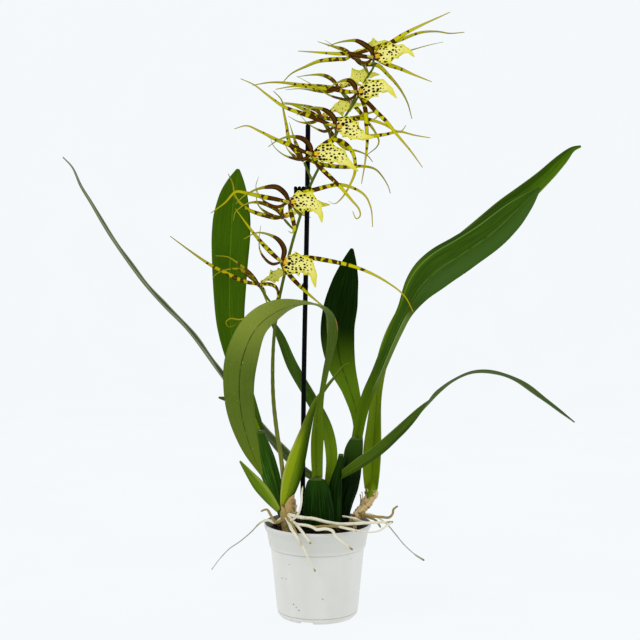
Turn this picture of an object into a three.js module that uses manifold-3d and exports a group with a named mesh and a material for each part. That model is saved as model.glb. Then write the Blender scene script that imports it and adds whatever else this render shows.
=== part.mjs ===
// A spider orchid (brassia) in flower, in a plain nursery pot.
// Millimetres, +Z up. The origin is the middle of the pot's foot; the flowers of the front rank look along -Y.
// Every leaf, tepal and lip is a blade: a thin strip swept along a route. Every stem and root is a tube.
import * as THREE from 'three';
import { mergeVertices } from 'three/addons/utils/BufferGeometryUtils.js';
import Module from 'manifold-3d';

const wasm = await Module();
wasm.setup();
const { Manifold } = wasm;

// ---------- driving dimensions ----------
const GAP = 0.3; // room left between pieces that touch
const POT_HEIGHT = 105;
const RIM_RADIUS = 60; // a 12 cm pot
const FOOT_RADIUS = 41.5;
const POT_SIDES = 36;
const SOIL_EDGE = 99; // top of the bark beside the rim
const SOIL_MOUND = 8; // how much higher it is in the middle
const STEM_DEPTH = 92; // where the feet of stems and bulbs stand, inside the bark
const STAKE_RADIUS = 2.5;
const STAKE_FOOT = [-17.5, 6, 20];
const STAKE_TOP = [-10, 6, 551];
const CLIP_LOW = 471;
const CLIP_HIGH = 479;
const HUB_RADIUS = 2.6; // heart of a flower, where its tepals meet
const TEPAL_WIDTH = 5.2;
const TEPAL_KEEL = 1.0;
const LEAF_THICK = 1.1;
const LIP_THICK = 0.8;

// ---------- small tools ----------
const vec = (p) => new THREE.Vector3(...p);

// value at t from a short list of [t, value] pairs, joined by straight lines
function ramp(list, t) {
  if (typeof list === 'number') return list;
  let i = 1;
  while (i < list.length - 1 && t > list[i][0]) i++;
  const [t0, a] = list[i - 1];
  const [t1, b] = list[i];
  const s = THREE.MathUtils.clamp((t - t0) / (t1 - t0), 0, 1);
  return Array.isArray(a) ? a.map((v, k) => v + (b[k] - v) * s) : a + (b - a) * s;
}

// points, directions and facing normals along a smooth route
function spine(route, stations, face = [0, -1, 0], pull = 0.5, ease = 1) {
  const curve = new THREE.CatmullRomCurve3(route.map(vec), false, 'centripetal');
  curve.arcLengthDivisions = 300;
  const list = [];
  let normal = null;
  for (let i = 0; i <= stations; i++) {
    const t = 1 - (1 - i / stations) ** ease;
    const at = curve.getPointAt(t);
    const along = curve.getTangentAt(t).normalize();
    const guide = vec(Array.isArray(face[0]) ? ramp(face, t) : face);
    guide.addScaledVector(along, -guide.dot(along));
    normal = normal ? normal.clone() : guide.clone();
    normal.addScaledVector(along, -normal.dot(along)).normalize();
    normal.addScaledVector(guide, pull).normalize();
    const side = new THREE.Vector3().crossVectors(along, normal).normalize();
    list.push({ t, at, along, normal, side });
  }
  return list;
}

// closes a row of equal rings into a solid. strip = number of points across a blade, whose two
// faces are then split into triangles alike; without it the rings are round and get plain caps
function skin(rings, strip = 0) {
  const n = rings[0].length;
  const index = [];
  const quad = (a, b, c, d, flip) => {
    if (flip) index.push(a, b, d, b, c, d);
    else index.push(a, b, c, a, c, d);
  };
  for (let i = 0; i < rings.length - 1; i++) {
    for (let j = 0; j < n; j++) {
      const k = (j + 1) % n;
      quad(i * n + j, i * n + k, (i + 1) * n + k, (i + 1) * n + j, strip && j >= strip);
    }
  }
  const last = (rings.length - 1) * n;
  if (strip) {
    for (let j = 0; j < strip - 1; j++) {
      const k = n - 1 - j;
      quad(j, k, k - 1, j + 1, false);
      quad(last + j, last + j + 1, last + k - 1, last + k, true);
    }
  } else {
    for (let j = 1; j < n - 1; j++) {
      index.push(0, j + 1, j);
      index.push(last, last + j, last + j + 1);
    }
  }
  const positions = rings.flat().flatMap((p) => [p.x, p.y, p.z]);
  return solid(positions, index);
}

// a manifold from plain lists, turned right side out
function solid(positions, index) {
  const make = (list) => new Manifold(new wasm.Mesh({
    numProp: 3,
    vertProperties: new Float32Array(positions),
    triVerts: new Uint32Array(list),
  }));
  const body = make(index);
  if (body.volume() > 0) return body;
  const turned = [];
  for (let i = 0; i < index.length; i += 3) turned.push(index[i], index[i + 2], index[i + 1]);
  return make(turned);
}

function fromGeometry(geometry) {
  const bare = new THREE.BufferGeometry();
  bare.setAttribute('position', geometry.getAttribute('position'));
  if (geometry.index) bare.setIndex(geometry.index);
  const merged = mergeVertices(bare, 1e-4);
  return solid(Array.from(merged.attributes.position.array), Array.from(merged.index.array));
}

const join = (bodies) => bodies.reduce((a, b) => a.add(b));

// ---------- tubes, blades and lofted stems ----------
function tube(route, radius, stations, sides = 6) {
  const rings = spine(route, stations).map(({ t, at, normal, side }) => {
    const r = ramp(radius, t);
    return Array.from({ length: sides }, (_, j) => {
      const a = (2 * Math.PI * j) / sides;
      return at.clone().addScaledVector(side, r * Math.cos(a)).addScaledVector(normal, r * Math.sin(a));
    });
  });
  return skin(rings);
}

// width and fold are lists over t; fold lifts the edges into a V; wave is called for ruffled margins
function blade({ route, width, face, fold = 0, thick = LEAF_THICK, stations = 14, columns = 5,
  pull = 3, ease = 1.15, wave = null }) {
  const rings = spine(route, stations, face, pull, ease).map(({ t, at, normal, side }) => {
    const half = ramp(width, t) / 2;
    const across = Array.from({ length: columns }, (_, j) => (2 * j) / (columns - 1) - 1);
    const lift = (u) => ramp(fold, t) * half * Math.abs(u) ** 1.3 + (wave ? wave(t, u) : 0);
    const point = (u, sign) => at.clone()
      .addScaledVector(side, u * half)
      .addScaledVector(normal, lift(u) + (sign * thick * (1 - 0.25 * Math.abs(u))) / 2);
    return [...across.map((u) => point(u, 1)), ...across.reverse().map((u) => point(u, -1))];
  });
  return skin(rings, columns);
}

// a long tepal has a three-sided section: flat in front, keeled behind
function tepal(route, face, width = TEPAL_WIDTH) {
  const length = new THREE.CatmullRomCurve3(route.map(vec)).getLength();
  const stations = THREE.MathUtils.clamp(Math.round(length / 14.5), 4, 9);
  const profile = [[0, 0.55], [0.12, 0.9], [0.28, 1], [0.5, 0.72], [0.75, 0.4], [1, 0.2]];
  const rings = spine(route, stations, face, 0.25).map(({ t, at, normal, side }) => {
    const half = (width * ramp(profile, t)) / 2;
    const keel = TEPAL_KEEL * (0.8 + 0.2 * ramp(profile, t));
    return [
      at.clone().addScaledVector(side, half),
      at.clone().addScaledVector(side, -half),
      at.clone().addScaledVector(normal, -keel),
    ];
  });
  return skin(rings);
}

// an upright body with oval sections: each station is [x, y, z, half width, half depth]
function oval(stations, sides = 12, rib = 0.05) {
  const rings = stations.map(([x, y, z, w, d]) => Array.from({ length: sides }, (_, j) => {
    const a = (2 * Math.PI * j) / sides;
    const k = 1 - rib * (j % 2);
    return new THREE.Vector3(x + w * k * Math.cos(a), y + d * k * Math.sin(a), z);
  }));
  return skin(rings);
}

// ---------- pot ----------
function pot() {
  const outer = [[0, 0], [9, 0], [10, 3], [37, 3], [38, 0], [FOOT_RADIUS, 0], [44.6, 3], [45.6, 9], [52.2, 76],
    [53.7, 77.5], [56.4, 94], [59.2, 100], [RIM_RADIUS, 102], [RIM_RADIUS, POT_HEIGHT]];
  const inner = [[58.6, POT_HEIGHT], [55, 95], [51, 76], [44, 10], [42.6, 5], [0, 5]];
  let body = turned([...outer, ...inner]);
  const notch = new THREE.BoxGeometry(20, 14, 6).translate(FOOT_RADIUS + 2, 0, 0);
  for (const turn of [-107, -17, 73, 163]) {
    const cut = notch.clone().rotateZ(THREE.MathUtils.degToRad(turn));
    body = body.subtract(fromGeometry(cut));
  }
  return body;
}

function turned(profile, sides = POT_SIDES) {
  const points = profile.map(([r, z]) => new THREE.Vector2(r, z));
  return fromGeometry(new THREE.LatheGeometry(points, sides).rotateX(Math.PI / 2));
}

// ---------- pieces that stand in the bark ----------
// [x, y, half width, half depth] of each foot; the bark has a plain hole for each one
const FEET = {
  bulb_front: [1, -24, 17.8, 10],
  bulb_cut: [18.5, -6, 8.5, 6],
  bulb_right: [27, 9, 9, 7],
  bulb_left: [-38, -3, 5, 4],
  leaf_diagonal: [7, 6, 4.5, 2.8],
  leaf_far_left: [3, 18, 4.4, 2.8],
  spike: [-35, -20, 2, 2],
  stake: [-16.4, 6, STAKE_RADIUS + 0.2, STAKE_RADIUS],
  roots_left: [-34, -30, 5.2, 5.2],
  sheath_right: [40, -8, 4.5, 4.5],
};
const foot = (name, z) => [FEET[name][0], FEET[name][1], z];

function bulb(name, rest) {
  const [x, y, w, d] = FEET[name];
  const base = [[x, y, STEM_DEPTH, w, d], [x, y, 110, w, d]];
  return oval([...base, ...rest]);
}

const bulbs = {
  bulb_front: () => bulb('bulb_front', [[1, -24, 122, 17.4, 10], [0.5, -24, 136, 15.8, 9.5],
    [0, -24, 146, 13.6, 8.5], [-0.5, -24, 153, 10.6, 7], [-1, -24, 157, 6.6, 5], [-1, -24, 159, 6.2, 4.6]]),
  bulb_cut: () => bulb('bulb_cut', [[18.5, -6, 124, 8.8, 6], [19, -6, 138, 8.6, 6], [20, -6, 150, 7.4, 5.6],
    [22.5, -6, 163, 5, 4.6], [25, -6, 173, 3.4, 3.4], [26.3, -6, 183, 2.8, 2.6]]),
  bulb_right: () => bulb('bulb_right', [[30, 9, 124, 10.5, 8], [35, 9, 140, 12, 8.6], [39, 8, 156, 12, 8.8],
    [42, 7, 172, 11.2, 8.4], [44, 6, 186, 9.4, 7.4], [45, 6, 196, 7, 6], [45, 6, 200, 6, 5.4]]),
  bulb_left: () => bulb('bulb_left', [[-42, -1, 124, 6, 4.6], [-48, 3, 142, 9.5, 6], [-54, 6, 160, 11.5, 7],
    [-59, 9, 178, 11, 7], [-63, 11, 193, 8.6, 6], [-65.5, 12, 202, 6.6, 5.4], [-66, 12, 206, 6.4, 5.2]]),
};

function substrate() {
  const mound = (r) => SOIL_EDGE + SOIL_MOUND * (1 - (r / 50) ** 2);
  let body = turned([[0, 5.4], [42.1, 5.4], [43.5, 10.2], [50.4, 76], [53.6, 93], [52.4, mound(52)],
    [28, mound(28)], [0, mound(0)]], 24);
  // bark chips lie half sunk in a golden-angle spread
  const chips = 12;
  for (let i = 0; i < chips; i++) {
    const a = i * 2.4;
    const r = 45 * Math.sqrt((i + 1) / (chips + 1));
    const chip = new THREE.BoxGeometry(11 + (i % 4) * 2, 7 + (i % 3) * 1.5, 4.6)
      .rotateY(0.35 * Math.sin(i * 1.7)).rotateX(0.3 * Math.cos(i * 2.3)).rotateZ(i * 1.9)
      .translate(r * Math.cos(a), r * Math.sin(a), mound(r) + 0.4);
    body = body.add(fromGeometry(chip));
  }
  for (const [name, [x, y, w, d]] of Object.entries(FEET)) {
    const size = [w + GAP + 0.15, d + GAP + 0.15];
    const floor = name === 'stake' ? STAKE_FOOT : [x, y, STEM_DEPTH];
    const hole = oval([[floor[0], floor[1], floor[2] - GAP, ...size], [x, y, 125, ...size]], 12, 0);
    body = body.subtract(hole);
  }
  return body.decompose().sort((a, b) => b.volume() - a.volume())[0];
}

// ---------- stake and its clip ----------
function stake() {
  const rod = tube([STAKE_FOOT, STAKE_TOP], STAKE_RADIUS, 1, 12);
  const bead = tube([[-12.6, 6, 366], [-12.5, 6, 374]], [[0, 2.8], [0.3, 3.3], [0.7, 3.3], [1, 2.8]], 3, 8);
  return rod.add(bead);
}

const RACHIS = [foot('spike', STEM_DEPTH), foot('spike', 112), [-36, -20, 135], [-40, -19, 179],
  [-45, -16, 211], [-49, -12, 250], [-49, -8, 299], [-45, -4, 341], [-36, -1, 385], [-28, -1, 417],
  [-20, -1, 444], [-9, -2, 478], [1, -2, 499], [15, -2, 525], [31, -2, 557], [43, -2, 575],
  [53, -2, 596], [61, -4, 609], [61.5, -11, 614]];
const RACHIS_RADIUS = [[0, 2], [0.4, 1.8], [0.75, 1.5], [1, 1.2]];

function clip() {
  const held = (grow, low, high) => {
    const rachisAt = (z) => [-10.1 + 0.38 * (z - 475), -2, z];
    return [
      tube([[-11.2, 6, low], [-11.2, 6, high]], STAKE_RADIUS + grow, 1, 12),
      tube([rachisAt(low), rachisAt(high)], 1.9 + grow, 1, 12),
    ];
  };
  let body = Manifold.hull(held(1.8, CLIP_LOW, CLIP_HIGH));
  const tab = new THREE.BoxGeometry(12, 2.4, 7).translate(-20, 4, 474.5);
  body = body.add(fromGeometry(tab));
  for (const x of [-24.2, -19.8, -15.6]) {
    const lobe = new THREE.CylinderGeometry(2.2, 2.2, 2.4, 6).translate(x, 4, 478);
    body = body.add(fromGeometry(lobe));
  }
  return body.subtract(Manifold.hull(held(GAP + 0.1, CLIP_LOW - 4, CLIP_HIGH + 4)));
}

// ---------- leaves ----------
const leaves = {
  // rises from the front bulb, folds over and hangs to the left with its pale underside in front
  leaf_arch: {
    route: [[-1, -24, 159.7], [-2, -26, 191], [-1.5, -29, 215], [0, -31, 237], [3.5, -33, 258], [8, -36, 283],
      [12, -39, 306], [13.5, -41, 326], [10.5, -42, 341], [2, -43, 350], [-10, -43, 352.5], [-37, -45, 348],
      [-65, -50, 328], [-80, -54, 296], [-84, -55, 262], [-80, -55, 226], [-70, -54, 192], [-60, -52, 168]],
    width: [[0, 11], [0.1, 13], [0.2, 11], [0.28, 15], [0.36, 24], [0.42, 28], [0.55, 33], [0.72, 36],
      [0.84, 30], [0.93, 19], [1, 3]],
    face: [[0, [0.3, -0.95, 0]], [0.1, [0.4, -0.9, 0]], [0.22, [0.92, -0.4, 0]], [0.34, [0.85, -0.5, 0.3]],
      [0.46, [0.05, 0.06, 1]], [0.56, [-0.4, 0.7, 0.6]], [0.7, [-0.2, 1, 0]], [1, [0, 1, 0]]],
    fold: [[0, 0.5], [0.1, 0.6], [0.22, 0.3], [0.36, 0.3], [0.44, 0.08], [0.5, 0.08], [0.6, 0.25], [1, 0.25]],
    stations: 28,
  },
  leaf_back_left: {
    route: [[-65, 16, 206.6], [-75, 23, 234], [-90, 30, 273], [-99, 35, 324], [-100, 38, 375], [-98, 36, 426],
      [-95, 32, 465], [-89, 26, 500]],
    width: [[0, 9], [0.1, 12], [0.25, 20], [0.4, 31], [0.57, 38], [0.74, 44], [0.82, 42.5], [0.91, 31],
      [0.96, 18], [1, 3]],
    face: [[0, [0.6, -0.8, 0]], [0.3, [0.15, -1, 0.1]], [1, [0.05, -1, -0.1]]],
    fold: [[0, 0.4], [0.3, 0.35], [1, 0.15]],
    stations: 17,
  },
  // a long leaf that turns its edge to the front
  leaf_far_left: {
    route: [foot('leaf_far_left', STEM_DEPTH), foot('leaf_far_left', 112), [3.2, 19, 143], [-23, 27, 163],
      [-67, 40, 206.5], [-110.5, 35, 266.5], [-146, 18, 319], [-171.5, 8, 347], [-194, 2, 374],
      [-228.5, -8, 425.5], [-249, -12, 462], [-259, -14, 479.5], [-267.5, -16, 500], [-277, -18, 511]],
    width: [[0, 7], [0.1, 8], [0.2, 14.5], [0.45, 16.5], [0.75, 13], [0.9, 9.5], [1, 2]],
    face: [[0, [0.1, -1, 0]], [0.16, [0.3, -0.9, 0.6]], [0.3, [0.55, -0.2, 0.8]], [1, [0.75, 0, 0.6]]],
    fold: [[0, 0.2], [0.3, 0.4], [1, 0.45]],
    stations: 20,
    columns: 3,
  },
  leaf_right_front: {
    route: [[44.5, 2.6, 200.8], [49.5, 1, 226], [57, 0, 250], [67, -2, 272], [76, -3, 294], [86, -4, 318],
      [98, -6, 343], [114, -7, 370], [135, -8, 388], [159, -10, 403.5], [189, -10, 425.5], [219, -8, 453],
      [244, -6, 478]],
    width: [[0, 9], [0.12, 13], [0.3, 15], [0.43, 18], [0.5, 29], [0.56, 40], [0.62, 43], [0.7, 40],
      [0.8, 38], [0.88, 32], [0.95, 18], [1, 3]],
    face: [[0, [-0.1, -1, 0]], [0.4, [-0.3, -1, 0.2]], [1, [-0.2, -1, 0.15]]],
    fold: [[0, 0.8], [0.3, 0.4], [1, 0.2]],
    stations: 18,
  },
  leaf_right_back: {
    route: [[62.6, 6.6, 141.6], [63, 9, 168], [64, 13, 207], [67.5, 17, 250], [73, 21, 280], [80, 23, 304],
      [90, 25, 325], [102, 26, 344], [120, 28, 369], [142, 28, 392], [177, 26, 423], [217, 24, 457.5],
      [254, 20, 490.5], [275, 18, 510.5], [293, 16, 525]],
    width: [[0, 12], [0.1, 17], [0.2, 16], [0.42, 16], [0.55, 26], [0.65, 30], [0.78, 29], [0.9, 17],
      [0.97, 8], [1, 3]],
    face: [[0, [-0.2, -1, 0]], [0.5, [-0.4, -1, 0.2]], [1, [-0.3, -0.9, 0.35]]],
    fold: [[0, 0.6], [0.3, 0.5], [0.6, 0.2], [1, 0.3]],
    stations: 18,
  },
  leaf_low_right: {
    route: [[29.7, -9, 161], [48, -24, 175.5], [69, -33, 192], [90, -40, 212.5], [111, -46, 235], [132, -50, 258],
      [146, -50, 269.5], [163, -50, 277.5], [180, -50, 279.5], [198, -48, 276.5], [218, -46, 268], [245, -42, 249],
      [269, -38, 231], [280, -36, 223]],
    width: [[0, 7], [0.12, 12], [0.3, 13], [0.5, 15], [0.8, 13], [0.93, 8], [1, 2]],
    face: [[0, [-0.5, -0.9, 0.3]], [0.3, [-0.5, -0.7, 0.6]], [0.46, [-0.2, 0.08, 1]], [1, [0.3, 0.1, 1]]],
    fold: [[0, 0.5], [0.4, 0.3], [0.6, 0.12], [1, 0.12]],
    stations: 18,
    columns: 3,
  },
  leaf_back_dark: {
    route: [[46, 9.6, 200.7], [44.5, 16, 223], [37, 23, 251], [26, 29, 282], [22, 33, 318], [27, 35, 352],
      [33, 35, 381], [39, 31, 411]],
    width: [[0, 9], [0.1, 13], [0.25, 20], [0.38, 32], [0.52, 39], [0.7, 39], [0.84, 29], [0.94, 15], [1, 3]],
    face: [[0, [0, -1, 0]], [0.3, [0.15, -1, 0.1]], [1, [0.1, -1, 0]]],
    fold: [[0, 0.8], [0.3, 0.3], [1, 0.15]],
    stations: 16,
  },
  leaf_diagonal: {
    route: [foot('leaf_diagonal', STEM_DEPTH), foot('leaf_diagonal', 112), [8, 7, 148], [11, 10, 177],
      [7, 15, 208], [-9.5, 20, 243], [-28.5, 25, 277.5], [-42.5, 28, 311], [-55, 30, 334]],
    width: [[0, 7], [0.12, 8], [0.3, 13], [0.5, 13.5], [0.75, 13], [0.9, 10], [1, 3]],
    face: [[0, [0, -1, 0]], [0.4, [0.2, -1, 0.2]], [1, [0.35, -0.9, 0.2]]],
    fold: [[0, 0.2], [0.2, 0.45], [1, 0.2]],
    stations: 15,
  },
  leaf_tip_left: {
    route: [[-67, 8, 207], [-78, 7, 226], [-91, 2, 239], [-110, -4, 246]],
    width: [[0, 7], [0.4, 12], [0.8, 8], [1, 2]],
    face: [[0, [0.5, -0.6, 0.6]], [1, [0.1, -0.9, 0.6]]],
    fold: 0.4,
    stations: 8,
    columns: 3,
  },
  // the folded leaf of the new growth runs out in a thin tip behind the arching leaf's stalk
  leaf_young: {
    route: [[-37, -31, 129.2], [-29, -28.5, 152], [-21, -25, 179], [-11, -19, 212], [-2, -13, 241],
      [8, -11, 256], [20, -11, 271], [28, -12, 281], [35, -13, 285]],
    width: [[0, 6], [0.12, 15], [0.25, 19], [0.42, 15], [0.6, 9], [0.75, 4.5], [1, 1.6]],
    face: [[0, [0.1, -1, 0]], [0.6, [0.2, -0.9, 0.2]], [1, [0.2, -1, 0]]],
    fold: [[0, -0.45], [0.4, -0.45], [0.7, -0.3], [1, -0.1]],
    stations: 14,
  },
  leaf_young_small: {
    route: [[-42.6, -34, 125], [-55, -38, 142], [-69, -42, 161], [-84, -46, 182]],
    width: [[0, 6], [0.25, 12], [0.5, 13.5], [0.8, 7], [1, 2]],
    face: [[0, [0, -1, 0]], [1, [0.2, -1, 0.1]]],
    fold: [[0, -0.5], [1, -0.3]],
    stations: 9,
  },
};

// dry bracts at the foot of the growths; the right one is a ringed neck that carries its leaf
function sheathLeft() {
  return blade({ route: [[-26.3, -33.2, 121.5], [-25.3, -33.9, 130], [-23, -34.2, 140]],
    width: [[0, 7], [0.4, 10], [1, 2]], face: [0.3, -1, 0], fold: -0.4, stations: 4, thick: 1 });
}

function sheathRight() {
  const ringed = [[0, 4.2], [0.2, 4.2], [0.3, 4.6], [0.4, 4.3], [0.5, 5.2], [0.6, 5], [0.7, 6], [0.82, 6],
    [0.9, 7.2], [1, 6.6]];
  return tube([foot('sheath_right', STEM_DEPTH), foot('sheath_right', 106), [41.5, -7, 110], [47.5, -1, 117],
    [56, 3.5, 126], [61.5, 6, 134], [62.4, 6.3, 140.6]], ringed, 12, 8);
}

// ---------- roots ----------
function bunch(heart, roots) {
  return join([heart, ...roots.map(([route, start, end]) => {
    const stations = Math.max(3, Math.round(new THREE.CatmullRomCurve3(route.map(vec)).getLength() / 15));
    return tube(route, [[0, start], [0.7, (start + end) / 2 + 0.2], [1, end]], stations, 5);
  })]);
}

function rootsLeft() {
  const heart = tube([foot('roots_left', STEM_DEPTH), foot('roots_left', 106), [-36, -32.2, 120],
    [-36.2, -31.5, 127.8]], [[0, 5], [0.4, 5], [0.8, 5], [1, 3.2]], 5, 8);
  return bunch(heart, [
    [[[-36, -32, 119], [-46, -31, 111.5], [-54, -27, 113], [-63, -21, 109], [-73, -22, 99], [-85, -24, 89],
      [-97, -26, 81], [-107, -28, 71], [-117, -30, 58]], 1.9, 0.9],
    [[[-38, -34, 114], [-46, -40, 114], [-51, -42, 122], [-55, -42, 128], [-62, -42, 126]], 1.7, 0.9],
    [[[-35, -34, 119], [-31, -44, 114], [-28, -57, 110], [-22, -65, 103], [-14, -65.5, 89], [-9, -64, 78],
      [-2, -61, 64]], 2.1, 1.4],
    [[[-34, -33, 121], [-24, -45, 113], [-18, -58, 109], [-12, -66, 103], [-7, -67, 96]], 2, 1.4],
    [[[-35, -31, 121], [-18, -45, 120], [-3, -48, 119], [8, -48, 116], [23, -46, 113], [41, -44, 113],
      [58, -40, 113], [83, -36, 113]], 2.1, 1.1],
    [[[-31, -44, 114], [-22, -43, 122], [-18, -42, 133], [-17, -41, 145], [-16, -40, 154]], 1.8, 0.9],
    [[[-34, -35, 117], [-22, -48, 113], [-12, -53, 113], [-4, -56, 111], [-1, -60, 110], [9, -61, 111],
      [16, -64, 109.5], [20, -67, 104], [28, -67, 97], [38, -65, 89]], 1.9, 1.1],
    [[[-12, -53, 113], [-3, -53, 111], [5, -54, 112], [23, -54, 112], [32, -56, 111], [44, -58, 108]], 1.8, 1.2],
    [[[28, -25, 117], [34, -30, 117], [42, -33, 116], [48, -38, 114], [55, -41, 113]], 1.1, 1.4],
    [[[41, -63, 110], [55, -60, 107], [67, -52, 107], [76, -44, 111], [82, -36, 113]], 0.9, 1.2],
    [[[23, -54, 112], [32, -60, 111], [42, -63, 110]], 1.4, 1],
  ]);
}

function rootsRight() {
  const knob = tube([[51, -8, 119], [51, -8, 112]], [[0, 1.8], [0.5, 2.8], [1, 1.8]], 2, 8);
  return bunch(knob, [
    [[[51, -8, 115], [58, -15, 115], [71, -20, 115], [79, -22, 115], [83, -22, 119], [84, -22, 124],
      [89, -22, 128]], 1.7, 1],
    [[[51, -8, 116], [60, -8, 115], [68, -8, 111.5], [79, -10, 103], [86, -12, 95], [96, -14, 83],
      [108, -15, 72], [119, -16, 65]], 1.5, 1.2],
    [[[51, -8, 114], [58, -4, 110.5], [65, -2, 107.5], [71, -2, 99]], 1.3, 1.1],
  ]);
}

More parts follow.
